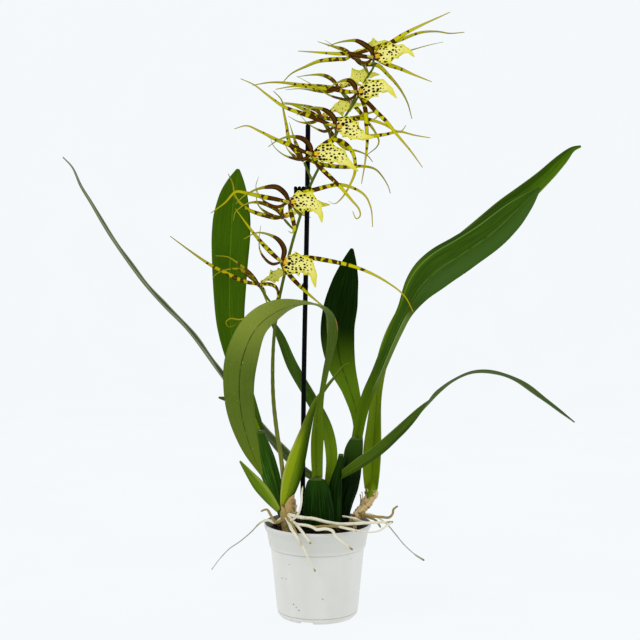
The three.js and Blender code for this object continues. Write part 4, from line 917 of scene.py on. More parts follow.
# %% Finishes of the leaves on the right
leaf_finishes |= {
    # folded along its stalk, so the pale back of the right half shows low down, brightened by a painted sheen
    # band and a thin painted highlight line; the left margin is painted as lit through, with painted light
    # near the shoulder and painted shade further up
    "leaf_right_front": leaf_tissue(
        "leaf_right_satin", "#2a4606", "#38560a", "#54692c", "#4e6a03", "#4a6a22",
        gloss=(0.45, 0.07), foot_band=(0.3, 0.06),
        bands=[("#39581a", 0.7, ("across", 0.0, 0.55), ("along", 0.42, 0.6)),
               ("#5f7430", 0.9, ("across", 0.35, 0.48), ("along", 0.12, 0.2), ("along", 0.46, 0.4)),
               ("#456402", 0.7, ("across", -0.62, -0.7), ("along", 0.2, 0.3), ("along", 0.66, 0.54)),
               ("#243f04", 0.8, ("across", -0.78, -0.84), ("along", 0.54, 0.66), ("along", 0.93, 0.86)),
               ("#6f8a3a", 0.7, ("across", -0.74, -0.76), ("across", -0.82, -0.79), ("along", 0.4, 0.5)),
               ("#93a262", 0.7, ("across", 0.3, 0.34), ("across", 0.44, 0.4), ("along", 0.15, 0.2),
                ("along", 0.44, 0.4))]),
    # painted shade: the left half of its upper part is painted darker
    "leaf_right_back": leaf_tissue(
        "leaf_right_bright", "#3a5902", "#4c6f03", "#4a6214", "#627a08", "#32480a",
        gloss=(0.45, 0.05), foot_band=(0.5, 0.3),
        bands=[("#748c1c", 0.8, ("along", 0.1, 0.26), ("along", 0.5, 0.36)),
               ("#8f9c3a", 0.7, ("edge", 0.86, 0.97)),
               ("#1f3a02", 0.7, ("across", -0.1, -0.5), ("along", 0.6, 0.75))]),
    # painted shadow: a dark band on the right half of its lower third
    "leaf_low_right": leaf_tissue(
        "leaf_low_green", "#2f4606", "#45600c", "#4a5a28", "#4a640c", "#4f681c",
        bands=[("#7c8a3c", 0.6, ("across", -0.86, -0.95)),
               ("#263a06", 0.6, ("across", 0.1, 0.6), ("along", 0.4, 0.3))]),
}
print("leaf finishes so far:", len(leaf_finishes))

# %% Finishes of the new leaves
# they are folded shut, with light and shade painted on: the lit half is painted yellow with a pale painted
# highlight on the young leaf's lit margin, and the half that turns away is painted deep green, as is the
# young leaf's upper part
leaf_finishes |= {
    "leaf_young": leaf_tissue(
        "leaf_new_growth", "#4c6800", "#5d7b02", "#6a8606", "#6f8410", "#4c6604",
        gloss=(0.45, 0.1), foot_band=(0.2, 0.0),
        bands=[("#8a9c0c", 0.95, ("across", 0.4, -0.5)), ("#b3b45c", 0.8, ("across", -0.7, -0.95)),
               ("#2c4700", 0.85, ("across", 0.3, 0.85)), ("#324a02", 0.7, ("along", 0.36, 0.54))]),
    "leaf_young_small": leaf_tissue(
        "leaf_new_blade", "#4f6c02", "#6b8a0a", "#6d8818", "#7c8f22", "#486008", gloss=(0.45, 0.1),
        bands=[("#94a53c", 0.7, ("across", 0.2, 0.8)), ("#3f5c02", 0.7, ("across", -0.3, -0.9))]),
}
print("leaf finishes:", len(leaf_finishes))

# %% [markdown]
# ## Leaves
# Eleven straps, from one more than half a metre long to a shoot as long as a finger. The arching one folds
# over and shows its underside. Each is a blade: a route for the midrib, a width, the way it faces and how
# far its edges rise into a V. A flat plane bent by modifiers would also do, but here each leaf twists, and
# stating the facing along the route keeps the twist under control. Their feet stand where those of the
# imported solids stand.

# %% Leaves on the left, in millimetres
leaf_routes = {
  # rises from the front bulb, folds over and hangs to the left with its pale underside in front
  "leaf_arch": {
    "route": [[-1, -24, 159.7], [-2, -26, 191], [-1.5, -29, 215], [0, -31, 237], [3.5, -33, 258],
      [8, -36, 283], [12, -39, 306], [13.5, -41, 326], [10.5, -42, 341], [2, -43, 350], [-10, -43, 352.5],
      [-37, -45, 348], [-65, -50, 328], [-80, -54, 296], [-84, -55, 262], [-80, -55, 226], [-70, -54, 192],
      [-60, -52, 168]],
    "width": [[0, 12], [0.1, 15.5], [0.18, 13.5], [0.24, 12.5], [0.28, 15], [0.36, 24], [0.42, 28],
      [0.55, 33], [0.72, 36], [0.84, 30], [0.93, 19], [1, 3]],
    "face": [[0, [0.3, -0.95, 0]], [0.1, [0.4, -0.9, 0]], [0.22, [0.92, -0.4, 0]],
      [0.34, [0.85, -0.5, 0.3]], [0.46, [0.05, 0.06, 1]], [0.56, [-0.4, 0.7, 0.6]], [0.7, [-0.2, 1, 0]],
      [1, [0, 1, 0]]],
    "fold": [[0, 0.5], [0.1, 0.6], [0.22, 0.3], [0.36, 0.3], [0.44, 0.08], [0.5, 0.08], [0.6, 0.25],
      [1, 0.25]],
  },
  "leaf_back_left": {
    "route": [[-65, 16, 206.6], [-75, 23, 234], [-90, 30, 273], [-99, 35, 324], [-100, 38, 375],
      [-98, 36, 426], [-95, 32, 465], [-89, 26, 500]],
    "width": [[0, 9], [0.1, 12], [0.25, 20], [0.4, 31], [0.57, 38], [0.74, 44], [0.82, 42.5], [0.91, 31],
      [0.96, 18], [1, 3]],
    "face": [[0, [0.6, -0.8, 0]], [0.3, [0.15, -1, 0.1]], [1, [0.05, -1, -0.1]]],
    "fold": [[0, 0.4], [0.3, 0.35], [1, 0.15]],
  },
  # a long leaf that turns its edge to the front
  "leaf_far_left": {
    "route": [[3, 18, 92], [3, 18, 112], [3.2, 19, 143], [-23, 27, 163], [-67, 40, 206.5],
      [-110.5, 35, 266.5], [-146, 18, 319], [-171.5, 8, 347], [-194, 2, 374], [-228.5, -8, 425.5],
      [-249, -12, 462], [-259, -14, 479.5], [-267.5, -16, 500], [-277, -18, 511]],
    "width": [[0, 7], [0.1, 8], [0.2, 14.5], [0.45, 16.5], [0.75, 13], [0.9, 9.5], [1, 2]],
    "face": [[0, [0.1, -1, 0]], [0.16, [0.3, -0.9, 0.6]], [0.3, [0.55, -0.2, 0.8]], [1, [0.75, 0, 0.6]]],
    "fold": [[0, 0.2], [0.3, 0.4], [1, 0.45]],
  },
}
print("leaves so far:", len(leaf_routes))

# %% Leaves on the right
leaf_routes |= {
  "leaf_right_front": {
    "route": [[44.5, 2.6, 200.8], [49.5, 1, 226], [57, 0, 250], [67, -2, 272], [76, -3, 294], [86, -4, 318],
      [98, -6, 343], [114.5, -7, 370], [135, -8, 389.5], [159, -10, 405.5], [189, -10, 426.5],
      [219, -8, 453.5], [244, -6, 478]],
    "width": [[0, 12], [0.12, 13], [0.3, 15], [0.43, 18], [0.5, 32], [0.56, 42.5], [0.62, 44], [0.7, 40],
      [0.8, 38], [0.88, 32], [0.95, 18], [1, 3]],
    "face": [[0, [-0.1, -1, 0]], [0.4, [-0.3, -1, 0.2]], [1, [-0.2, -1, 0.15]]],
    "fold": [[0, 0.8], [0.3, 0.4], [1, 0.2]],
  },
  "leaf_right_back": {
    "route": [[61, 6.6, 141.6], [61.8, 9, 168], [64.2, 13, 207], [67.5, 17, 250], [73, 21, 280],
      [80, 23, 304], [90, 25, 325], [102, 26, 344], [120, 28, 369], [142, 28, 392], [177, 26, 423],
      [217, 24, 457.5], [254, 20, 490.5], [272, 18, 509], [284, 17, 521], [293, 16, 524.5]],
    "width": [[0, 15], [0.04, 20], [0.1, 21], [0.14, 17], [0.2, 13], [0.26, 12.5], [0.42, 16], [0.55, 26],
      [0.65, 30], [0.78, 28], [0.87, 19.5], [0.92, 16.5], [0.955, 12.5], [0.975, 7], [1, 2.5]],
    "face": [[0, [-0.2, -1, 0]], [0.5, [-0.4, -1, 0.2]], [1, [-0.3, -0.9, 0.35]]],
    "fold": [[0, 0.6], [0.3, 0.5], [0.6, 0.2], [1, 0.3]],
    "flap": [[[55.5, -1.4, 132.5], [58, -1.8, 138], [60, 0.5, 145], [61, 9, 153]],
      [[0, 3], [0.25, 9], [0.5, 15], [1, 14]]],
  },
  "leaf_low_right": {
    "route": [[25, -6.5, 157.5], [29.7, -9, 161], [48, -24, 175.5], [69, -33, 192], [90, -40, 212.5],
      [111, -46, 235], [132, -50, 258], [146, -50, 269.5], [163, -50, 277.5], [180, -50, 279.5],
      [198, -48, 276.5], [218, -46, 268], [245, -42, 249], [269, -38, 231], [280, -36, 223]],
    "width": [[0, 8], [0.1, 14], [0.3, 15], [0.5, 14], [0.8, 12.5], [0.93, 8], [1, 2]],
    "face": [[0, [-0.5, -0.9, 0.3]], [0.3, [-0.5, -0.7, 0.6]], [0.46, [-0.2, 0.3, 1]], [1, [0.3, 0.42, 1]]],
    "fold": [[0, 0.5], [0.4, 0.3], [0.6, 0.12], [1, 0.12]],
  },
}
print("leaves so far:", len(leaf_routes))

# %% Shorter leaves and new shoots
leaf_routes |= {
  "leaf_back_dark": {
    "route": [[46, 9.6, 200.7], [44.5, 16, 223], [37, 23, 251], [26, 29, 282], [22, 33, 318], [27, 35, 352],
      [33, 35, 381], [39, 31, 411]],
    "width": [[0, 9], [0.1, 13], [0.25, 20], [0.38, 32], [0.52, 39], [0.7, 39], [0.84, 29], [0.94, 15],
      [1, 3]],
    "face": [[0, [0, -1, 0]], [0.3, [0.15, -1, 0.1]], [1, [0.1, -1, 0]]],
    "fold": [[0, 0.8], [0.3, 0.3], [1, 0.15]],
  },
  "leaf_diagonal": {
    "route": [[7, 6, 92], [7.5, 6, 112], [12.5, 5.5, 148], [15.5, 9, 177], [10, 15, 208], [-8.5, 20, 243],
      [-28.5, 25, 277.5], [-42.5, 28, 311], [-55, 30, 334]],
    "width": [[0, 7], [0.12, 7.5], [0.22, 10], [0.34, 13.5], [0.5, 13.5], [0.75, 13], [0.9, 10], [1, 3]],
    "face": [[0, [0, -1, 0]], [0.4, [0.2, -1, 0.2]], [1, [0.35, -0.9, 0.2]]],
    "fold": [[0, 0.2], [0.2, 0.45], [1, 0.2]],
  },
  "leaf_tip_left": {
    "route": [[-67, 8, 207], [-78, 7, 226], [-91, 2, 239], [-110, -4, 246]],
    "width": [[0, 7], [0.4, 12], [0.8, 8], [1, 2]],
    "face": [[0, [0.5, -0.6, 0.6]], [1, [0.1, -0.9, 0.6]]],
    "fold": 0.4,
  },
  # the folded leaf of the new growth runs out in a thin tip behind the arching leaf's stalk
  "leaf_young": {
    "route": [[-37, -31, 129.2], [-30, -28.5, 152], [-22.5, -25, 179], [-12.5, -19, 212], [-2.5, -13, 241],
      [8, -11, 256], [20, -11, 271], [28, -12, 281], [35, -13, 285]],
    "width": [[0, 8], [0.1, 18], [0.22, 22], [0.34, 19], [0.45, 13.5], [0.6, 8], [0.75, 4.2], [1, 1.6]],
    "face": [[0, [0.1, -1, 0]], [0.6, [0.2, -0.9, 0.2]], [1, [0.2, -1, 0]]],
    "fold": [[0, -0.45], [0.4, -0.45], [0.7, -0.3], [1, -0.1]],
  },
  "leaf_young_small": {
    "route": [[-42.6, -34, 125], [-55, -38, 142], [-69, -42, 161], [-84, -46, 182]],
    "width": [[0, 6], [0.25, 12], [0.5, 13.5], [0.8, 7], [1, 2]],
    "face": [[0, [0, -1, 0]], [1, [0.2, -1, 0.1]]],
    "fold": [[0, -0.5], [1, -0.3]],
  },
}
print("leaves:", len(leaf_routes))


# %% One finer leaf for every packed leaf
THICKNESS = 1.0
STOP_EVERY = 3  # millimetres from ring to ring, before twenty more rings are spread over the leaf


def leaf(name, shape, seed):
    """A leaf may have a flap at its foot that wraps the neck below it."""
    length = travel(shape["route"], 40)[2]
    width = max(w for _, w in shape["width"])

    def sway(t, u):
        return 0.5 * u * u * np.sin(length / 9 * t + 2.0 * u + seed) * np.sin(np.pi * t)

    stations, columns = int(length / STOP_EVERY) + 20, 21 if width > 20 else 13
    made = blade(shape["route"], shape["width"], shape["face"], shape["fold"], THICKNESS, stations, columns,
                 wave=sway if width > 12 else None, seed=seed)
    shells = [(*made, 0)]
    if "flap" in shape:
        points, faces, strip = blade(*shape["flap"], [-0.2, -1, 0.1], -0.5, 0.6, 24, 13, rib=0, seed=seed)
        strip[:, 1] *= 0.05  # the whole flap takes the colours of the leaf's foot
        shells.append((points, faces, strip, 0))
    finish = leaf_finishes.get(name, leaf_finishes["leaf_diagonal"])
    piece(name + "_blade", name, [finish], shells)
    print(name, "length in mm:", round(length))


for number, (name, shape) in enumerate(leaf_routes.items()):
    leaf(name, shape, number * 0.37)

# %% [markdown]
# ## Tepals and lips
# Brassia tepals are yellow-green straps with chocolate bars on the half nearest the heart, and the tips run
# out plain. The bars are three to six millimetres long and break up outwards, so a noise along the strap is
# cut at a level that climbs with distance. The lip is pale yellow with dark oval spots about two
# millimetres long, largest near its heart: the cells of a Voronoi pattern, each cut to a disc smaller than
# its cell, give separate spots. Flower tissue is thin and matt, and the lip lets a little light through.
# Painting the bars and spots on a map would place each one exactly, and twelve flowers would need twelve
# maps.


# %% Tepal finish
BAR_SPACING = 8.5  # millimetres from bar to bar


def tepal_tissue(name, ground, tip, chocolate, rust, levels):
    """rust lightens the middle of the chocolate; levels says how strong the noise must be for it to show."""
    made, tree, shader, strip = begin(name, 0.6, specular=0.04)
    beat = add(tree, "Math", {0: strip["run"], 1: 2 * np.pi * 1000 / BAR_SPACING}, operation="MULTIPLY")
    beat = add(tree, "Math", {0: beat}, operation="SINE")
    bars = add(tree, "Math", {0: beat, 1: 0.1, 2: grain(tree, strip, 0.3, 7, 1)}, operation="MULTIPLY_ADD")
    streaks = grain(tree, strip, 3, 20)
    level = add(tree, "ValToRGB", {0: strip["along"]})
    for place, _ in levels[1:-1]:
        level.color_ramp.elements.new(place)
    for stop, (place, value) in zip(level.color_ramp.elements, levels):
        stop.position = place
        stop.color = (value, value, value, 1)
    over = add(tree, "Math", {0: bars, 1: level}, operation="SUBTRACT")
    colour = coat(tree, ground, tip, (strip["along"], 0.35, 0.95))
    colour = coat(tree, colour, "#7d8408", (streaks, 0.45, 0.8), (strip["edge"], 0.2, 0.9), most=0.6)
    colour = coat(tree, colour, "#6f6a08", (strip["edge"], 0.6, 1.0), most=0.6)
    brown = coat(tree, chocolate, rust, (strip["edge"], 0.8, 0.2), (streaks, 0.3, 0.6), most=0.8)
    colour = coat(tree, colour, brown, (over, -0.012, 0.012))
    close(tree, shader, colour, streaks, 0.15)
    return made


sepal_barred = tepal_tissue("sepal_barred", "#c0bc08", "#aa9c10", "#382003", "#5f3a06",
                            [(0.0, 0.42), (0.3, 0.47), (0.48, 0.62), (1.0, 0.95)])
# the dorsal sepal's ground is painted darker than the lateral sepals' as shade
dorsal_barred_painted_shade = tepal_tissue("dorsal_barred_painted_shade", "#b5b208", "#a39a10", "#382003", "#5f3a06",
                             [(0.0, 0.32), (0.36, 0.45), (0.5, 0.68), (1.0, 0.95)])
petal_chocolate = tepal_tissue("petal_chocolate", "#8f8c0c", "#96942a", "#2c1802", "#6c4408",
                               [(0.0, 0.0), (0.4, 0.2), (0.56, 0.7), (1.0, 0.95)])
sepal_olive = tepal_tissue("sepal_olive", "#aeab0c", "#93891a", "#402404", "#6a4a08",
                           [(0.0, 0.44), (0.3, 0.5), (0.5, 0.62), (1.0, 0.95)])
petal_olive = tepal_tissue("petal_olive", "#8f9010", "#9c9620", "#472a06", "#786010",
                           [(0.0, 0.34), (0.4, 0.46), (0.55, 0.66), (1.0, 0.95)])
print("bars from each other in mm:", BAR_SPACING)

# %% Lip finish
SPOT_SPACING = 3.3  # millimetres from spot to spot


def lip_tissue(name, plate, rim, spots, reach, least, most):
    """reach is how far along the lip the spots run; least and most are their radius in parts of a cell."""
    made, tree, shader, strip = begin(name, 0.6, specular=0.05)
    place = add(tree, "SeparateXYZ", {0: add(tree, "TexCoord", {}).outputs["Object"]}).outputs
    place = add(tree, "CombineXYZ", {0: place[0], 1: place[2]})
    place = add(tree, "VectorMath", {0: place, 1: (0.8, 1.1, 1)}, operation="MULTIPLY")
    cells = add(tree, "TexVoronoi", {"Vector": place, "Scale": 1000 / SPOT_SPACING, "Randomness": 0.8},
                voronoi_dimensions="2D")
    chance = add(tree, "SeparateColor", {0: cells.outputs["Color"]})
    radius = add(tree, "MapRange", {0: chance, 1: 0.0, 2: 1.0, 3: least, 4: most})
    # the largest spots sit near the heart
    swell = add(tree, "MapRange", {0: strip["along"], 1: 0.1, 2: reach, 3: 1.2, 4: 0.7})
    radius = add(tree, "Math", {0: radius, 1: swell}, operation="MULTIPLY")
    inside = add(tree, "Math", {0: radius, 1: cells}, operation="SUBTRACT")
    colour = coat(tree, plate, rim, (strip["edge"], 0.35, 0.95))
    colour = coat(tree, colour, rim, (strip["along"], 0.55, 0.95))
    colour = coat(tree, colour, "#cf9a18", (strip["along"], 0.1, 0.02))
    colour = coat(tree, colour, spots, (inside, -0.03, 0.04), (strip["along"], reach + 0.09, reach - 0.09),
                  (strip["edge"], 0.96, 0.86))
    close(tree, shader, colour, mottle(tree, 2), 0.12)
    shader.inputs["Subsurface Weight"].default_value = 0.15
    shader.inputs["Subsurface Radius"].default_value = (0.002, 0.002, 0.0008)
    return made


lip_spotted = lip_tissue("lip_spotted", "#e8e184", "#d8d142", "#1e0a04", 0.66, 0.16, 0.46)
lip_faint = lip_tissue("lip_faint_spots", "#e6e26a", "#d6d246", "#5e4e10", 0.75, 0.0, 0.26)
print("spots from each other in mm:", SPOT_SPACING)


# %% Callus, column and heart finishes
def flesh(name, colour, shade):
    """Waxy, and mottled within a millimetre or two."""
    made, tree, shader, _ = begin(name, 0.45, 1.42, 0.3)
    close(tree, shader, coat(tree, colour, shade, (mottle(tree, 1.5), 0.35, 0.7)), mottle(tree, 0.9), 0.1)
    return made


callus_gold = flesh("callus_gold", "#ecc124", "#cf9a12")
column_green = flesh("column_green", "#c3bd4a", "#8f8a2c")
heart_brown = flesh("heart_brown", "#4a2410", "#6a4a16")
print("fleshy parts:", callus_gold.name, column_green.name, heart_brown.name)

# %% [markdown]
# ## Flowers
# Six flowers face the front and six the back, in two ranks along the spike. Each has a dorsal sepal, two
# petals and two lateral sepals, all drawn out into threads, a spotted lip and a short column. The tepals
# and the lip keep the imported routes; the skins are much finer, and the lip gets a ruffled margin. One
# modelled flower could be copied twelve times, but on a real spike every thread curls its own way.

# %% Front rank: heart, facing, stalk, tepals and lip of each, in millimetres
FRONT = [0, -1, 0.05]
blooms = {
  "bloom_front_1": {
    "hub": [-39, -20, 397], "face": FRONT, "stem": [[-36, -1, 383], [-39.5, -8, 394]],
    "tepals": [
      [[-49, -24, 406], [-63, -27, 421], [-75, -27, 436], [-89, -24, 455]],
      [[-36, -26, 410], [-41, -30, 420], [-50, -32, 426], [-65, -31, 429], [-80, -27, 422]],
      [[-49, -26, 395], [-57, -31, 401], [-62, -34, 410], [-63, -35, 421], [-61, -34, 437]],
      [[-19, -15, 402], [14, -17, 398], [46, -24, 390], [73, -30, 377], [94, -34, 361], [104, -36, 343]],
      [[-33, -18, 386], [-21, -13, 372], [-8, -13, 360], [14, -16, 342]],
    ],
    "lip": [[-27, -29.5, 395], [-15, -32, 394], [-6, -34, 386], [-2, -36, 370]], "span": 27,
  },
  "bloom_front_2": {
    "hub": [-31, -20, 462], "face": FRONT, "stem": [[-19, -1, 447], [-28, -7, 459]],
    "tepals": [
      [[-44, -24, 465], [-60, -28, 468], [-78, -30, 472], [-88, -31, 473], [-100, -34, 461],
        [-115, -36, 450]],
      [[-35, -26, 471], [-44, -30, 478], [-55, -33, 478], [-67, -34, 475], [-80, -33, 468], [-88, -32, 460]],
      [[-43, -26, 457], [-53, -30, 460], [-61, -36, 467], [-66, -39, 478], [-63, -40, 489]],
      [[-19, -14, 471], [-2, -14, 476], [21, -16, 481], [35, -18, 479], [51, -22, 470], [58, -24, 456],
        [60, -26, 435]],
      [[-29, -19, 452], [-26, -19, 440], [-25, -25, 433], [-27, -42, 429], [-31, -58, 431]],
    ],
    "lip": [[-19, -27, 463], [-7, -31, 461], [2, -34, 452], [5, -36, 440]], "span": 25,
  },
  "bloom_front_3": {
    "hub": [-6, -20, 514], "face": FRONT, "stem": [[1, -2, 499], [-5, -9, 510]],
    "tepals": [
      [[-16, -24, 517], [-29, -28, 523], [-44, -30, 529], [-62, -30, 538], [-76, -28, 544], [-90, -24, 541]],
      [[-8, -26, 522], [-14, -30, 529], [-24, -33, 532], [-35, -35, 531], [-46, -35, 526], [-53, -34, 521]],
      [[-17, -26, 508], [-26, -30, 509], [-37, -34, 513], [-47, -38, 522], [-51, -38, 532]],
      [[5, -12, 524], [17, -12, 530], [30, -14, 526], [39, -18, 514], [41, -22, 496], [36, -24, 482],
        [26, -28, 466], [17, -42, 460], [12, -43, 463]],
      [[4, -20, 499], [15, -26, 488], [26, -30, 477], [37, -34, 464], [45, -36, 454], [46, -36, 447],
        [42, -36, 444], [38, -36, 452]],
    ],
    "lip": [[7, -27, 515], [22, -31, 512], [34, -34, 503], [44, -35, 495]], "span": 25,
  },
}
print("flowers so far:", len(blooms))

# %% The upper half of the front rank
blooms |= {
  "bloom_front_4": {
    "hub": [19, -20, 544], "face": FRONT, "stem": [[20, -2, 535], [20, -9, 540]],
    "tepals": [
      [[8, -24, 548], [-7, -27, 554], [-22, -28, 559], [-37, -28, 565], [-55, -26, 578], [-68, -24, 588],
        [-83, -22, 595]],
      [[18, -26, 552], [11, -30, 559], [4, -32, 562], [-5, -33, 563], [-13, -33, 560], [-22, -32, 555]],
      [[15, -26, 541], [8, -28, 538], [-2, -32, 541], [-10, -35, 546], [-19, -37, 555]],
      [[30, -14, 550], [46, -14, 553], [59, -16, 551], [73, -18, 546], [83, -20, 540], [91, -21, 539],
        [96, -22, 545]],
      [[36, -11, 536], [55, -10, 534], [74, -10, 536], [89, -10, 539], [106, -12, 535], [123, -14, 532]],
    ],
    "lip": [[31, -27, 543], [42, -31, 536], [51, -34, 532], [61, -35, 531]], "span": 25,
  },
  "bloom_front_5": {
    "hub": [42, -20, 581], "face": FRONT, "stem": [[36, -2, 565], [41, -9, 577]],
    "tepals": [
      [[30, -24, 581], [19, -27, 583], [5, -29, 584], [-9, -30, 585], [-25, -30, 586], [-45, -28, 583]],
      [[40, -26, 587], [35, -30, 592], [28, -33, 592], [21, -35, 589], [11, -37, 583]],
      [[39, -26, 575], [32, -30, 572], [23, -33, 573], [13, -35, 576], [4, -37, 581], [-9, -37, 589],
        [-22, -35, 596]],
      [[56, -20, 568], [64, -24, 559], [74, -28, 549], [85, -32, 535], [100, -35, 517], [113, -36, 499]],
      [[49, -15, 572], [52, -18, 562], [53, -21, 546], [54, -22, 529], [52, -20, 507], [48, -18, 482]],
    ],
    "lip": [[54, -27, 582], [66, -31, 586], [76, -34, 583], [85, -35, 573]], "span": 23,
  },
  "bloom_front_6": {
    "hub": [60, -20, 618], "face": FRONT, "stem": [[61, -9, 613], [61, -12, 614.5]],
    "tepals": [
      [[47, -24, 619], [34, -27, 621], [19, -28, 621], [5, -28, 622], [-21, -26, 624]],
      [[58, -26, 625], [51, -30, 630], [42, -33, 634], [35, -34, 634], [23, -35, 632], [11, -34, 628]],
      [[54, -26, 612], [47, -30, 612], [37, -34, 616], [26, -37, 623], [8, -38, 634]],
      [[70, -14, 629], [79, -14, 634], [93, -16, 643], [111, -18, 652], [127, -20, 659], [143, -22, 666]],
      [[76, -16, 611], [89, -20, 606], [104, -24, 599], [123, -28, 591]],
    ],
    "lip": [[72, -27, 620], [85, -31, 624], [96, -33, 624], [104, -34, 617]], "span": 23,
  },
}
print("flowers so far:", len(blooms))

# %% Back rank
BACK = [0, 1, 0.05]
blooms |= {
  "bloom_back_1": {
    "hub": [-65, 6, 371], "face": BACK, "stem": [[-45, -4, 344], [-56, 0, 357]],
    "tepals": [
      [[-79, 8, 374], [-90, 9, 378], [-102, 9, 384], [-119, 7, 393], [-135, 5, 404], [-163, 1, 425]],
      [[-74, 10, 382], [-83, 13, 390], [-92, 14, 397], [-101, 13, 402], [-114, 12, 403]],
      [[-75, 2, 380], [-85, -1, 388], [-95, -3, 389], [-104, -4, 387], [-112, -5, 383], [-116, -6, 378]],
      [[-53, -2, 372], [-45, -10, 368], [-44, -18, 356], [-61, -22, 341], [-85, -22, 334], [-95, -21, 335],
        [-100, -20, 331], [-97, -19, 326], [-85, -15, 331]],
      [[-61, 22, 364], [-59, 40, 354], [-57, 58, 344]],
    ],
    "lip": [[-57, 12, 376], [-46, 16, 382], [-38, 18, 386], [-30, 18, 388]], "span": 24,
    "lipFace": [-0.4, 0.9, 0.8],
  },
  "bloom_back_2": {
    "hub": [-39, 8, 446], "face": BACK, "stem": [[-24, -1, 430], [-31, 3, 437]],
    "tepals": [
      [[-46, 10, 445], [-59, 14, 448], [-69, 16, 451], [-78, 16, 455], [-87, 14, 463], [-92, 12, 471],
        [-94, 10, 483], [-99, 8, 494]],
      [[-44, 8, 453], [-54, 7, 459], [-64, 6, 462], [-74, 5, 462], [-83, 4, 458], [-91, 3, 451],
        [-93, 2, 442]],
      [[-48, 3, 447], [-58, -1, 452], [-65, -4, 459], [-67, -6, 467], [-67, -8, 476]],
      [[-33, 20, 449], [-26, 36, 452], [-18, 52, 449], [-8, 58, 446]],
      [[-40, 20, 456], [-34, 36, 466], [-25, 52, 470]],
    ],
    "lip": [[-28, 14, 451], [-12, 18, 457], [2, 20, 460], [14, 21, 460]], "span": 22,
  },
  "bloom_back_3": {
    "hub": [-16, -4, 509], "face": BACK, "stem": [[-6, -2, 485], [-9, -2.5, 493]],
    "tepals": [
      [[-23, 2, 517], [-31, 10, 528], [-34, 16, 545], [-38, 20, 565], [-40, 20, 576], [-49, 20, 586]],
      [[-21, -6, 520], [-25, -4, 530], [-28, 0, 540], [-31, 4, 550]],
      [[-24, 6, 512], [-33, 20, 521], [-38, 30, 532]],
      [[-8, -3, 508], [4, 1.6, 504], [32, 4, 501], [49, 2, 502], [63, 0, 499], [71, -3, 491],
        [78, -5, 479], [80, -6, 472]],
      [[-19, 8, 512], [-23, 26, 514], [-22, 46, 510]],
    ],
    "lip": [[-9, 0.5, 512], [3, 7, 517], [16, 11, 520], [28, 13, 521]], "span": 16,
  },
}
print("flowers so far:", len(blooms))

# %% The upper half of the back rank
blooms |= {
  "bloom_back_4": {
    "hub": [4, 8, 555], "face": BACK, "stem": [[15, -2, 526], [12, 2, 541]],
    "tepals": [
      [[-7, 12, 561], [-19, 14, 567], [-30, 15, 571], [-44, 15, 571]],
      [[1, 6, 562], [-10, 3, 567], [-24, 2, 570], [-38, 2, 572]],
      [[-6, 16, 551], [-20, 24, 552], [-33, 30, 559]],
      [[23, 8, 554], [43, 6, 556], [53, 3, 559], [63, 2, 561], [66, 2, 557], [58, 2, 551]],
      [[17, 16, 537], [31, 12, 522], [44, 8, 519], [55, 6, 514], [61, 6, 507]],
    ],
    "lip": [[13, 13.5, 562], [27, 15, 568], [39, 15, 570], [51, 15, 571]], "span": 22,
  },
  "bloom_back_5": {
    "hub": [23, 8, 588], "face": BACK, "stem": [[38, -2, 568], [31, 2, 578]],
    "tepals": [
      [[5, 12, 590], [-10, 14, 591], [-24, 16, 593], [-40, 17, 595], [-54, 18, 595], [-72, 18, 592]],
      [[20, 6, 593], [13, 5, 599], [4, 5, 602], [-8, 6, 602], [-23, 7, 600]],
      [[14, 16, 585], [1, 22, 586], [-20, 26, 589], [-36, 28, 588]],
      [[36, 26, 594], [46, 48, 596], [51, 70, 596], [54, 86, 593]],
      [[33, 18, 578], [45, 25, 566], [56, 22, 552], [64, 14, 540], [68, 10, 530], [66, 9, 524],
        [55, 12, 515]],
    ],
    "lip": [[33, 12, 596], [46, 17, 602], [58, 20, 604], [69, 21, 604]], "span": 22,
  },
  "bloom_back_6": {
    "hub": [38, 8, 624], "face": BACK, "stem": [[56, -3, 602], [45, 0, 619]],
    "tepals": [
      [[31, 10, 620], [22, 12, 620], [1, 16, 618], [-12, 18, 613], [-29, 20, 605], [-39, 20, 595]],
      [[30, 6, 629], [13, 4, 634], [0, 3, 638]],
      [[54, 11, 622], [80, 14, 623], [106, 16, 631], [124, 16, 636], [139, 14, 639]],
      [[54, 8, 629], [74, 8, 635], [90, 7, 640], [113, 5, 648], [131, 4, 649], [145, 4, 647], [161, 3, 648]],
      [[48, 11, 615], [66, 9, 613], [78, 7, 602], [90, 6, 588], [99, 5, 572], [104, 4, 554]],
    ],
    "lip": [[47, 13, 629], [60, 19, 634], [73, 22, 638], [85, 23, 640]], "span": 20,
  },
}
print("flowers:", len(blooms))


# %% Tepal: a keeled strap that runs out into a thread
SEPAL = [[0, 0.55], [0.12, 0.9], [0.28, 1], [0.5, 0.72], [0.75, 0.4], [1, 0.16]]
PETAL = [[0, 0.5], [0.12, 0.9], [0.28, 1], [0.42, 0.85], [0.54, 0.5], [0.75, 0.28], [1, 0.12]]
# the section in half widths across and keel depths back: five points in front, five behind
SECTION_ACROSS = np.array([1, 0.55, 0, -0.55, -1, -0.8, -0.35, 0, 0.35, 0.8])
SECTION_BACK = np.array([0, -0.12, -0.2, -0.12, 0, -0.45, -0.9, -1, -0.9, -0.45])


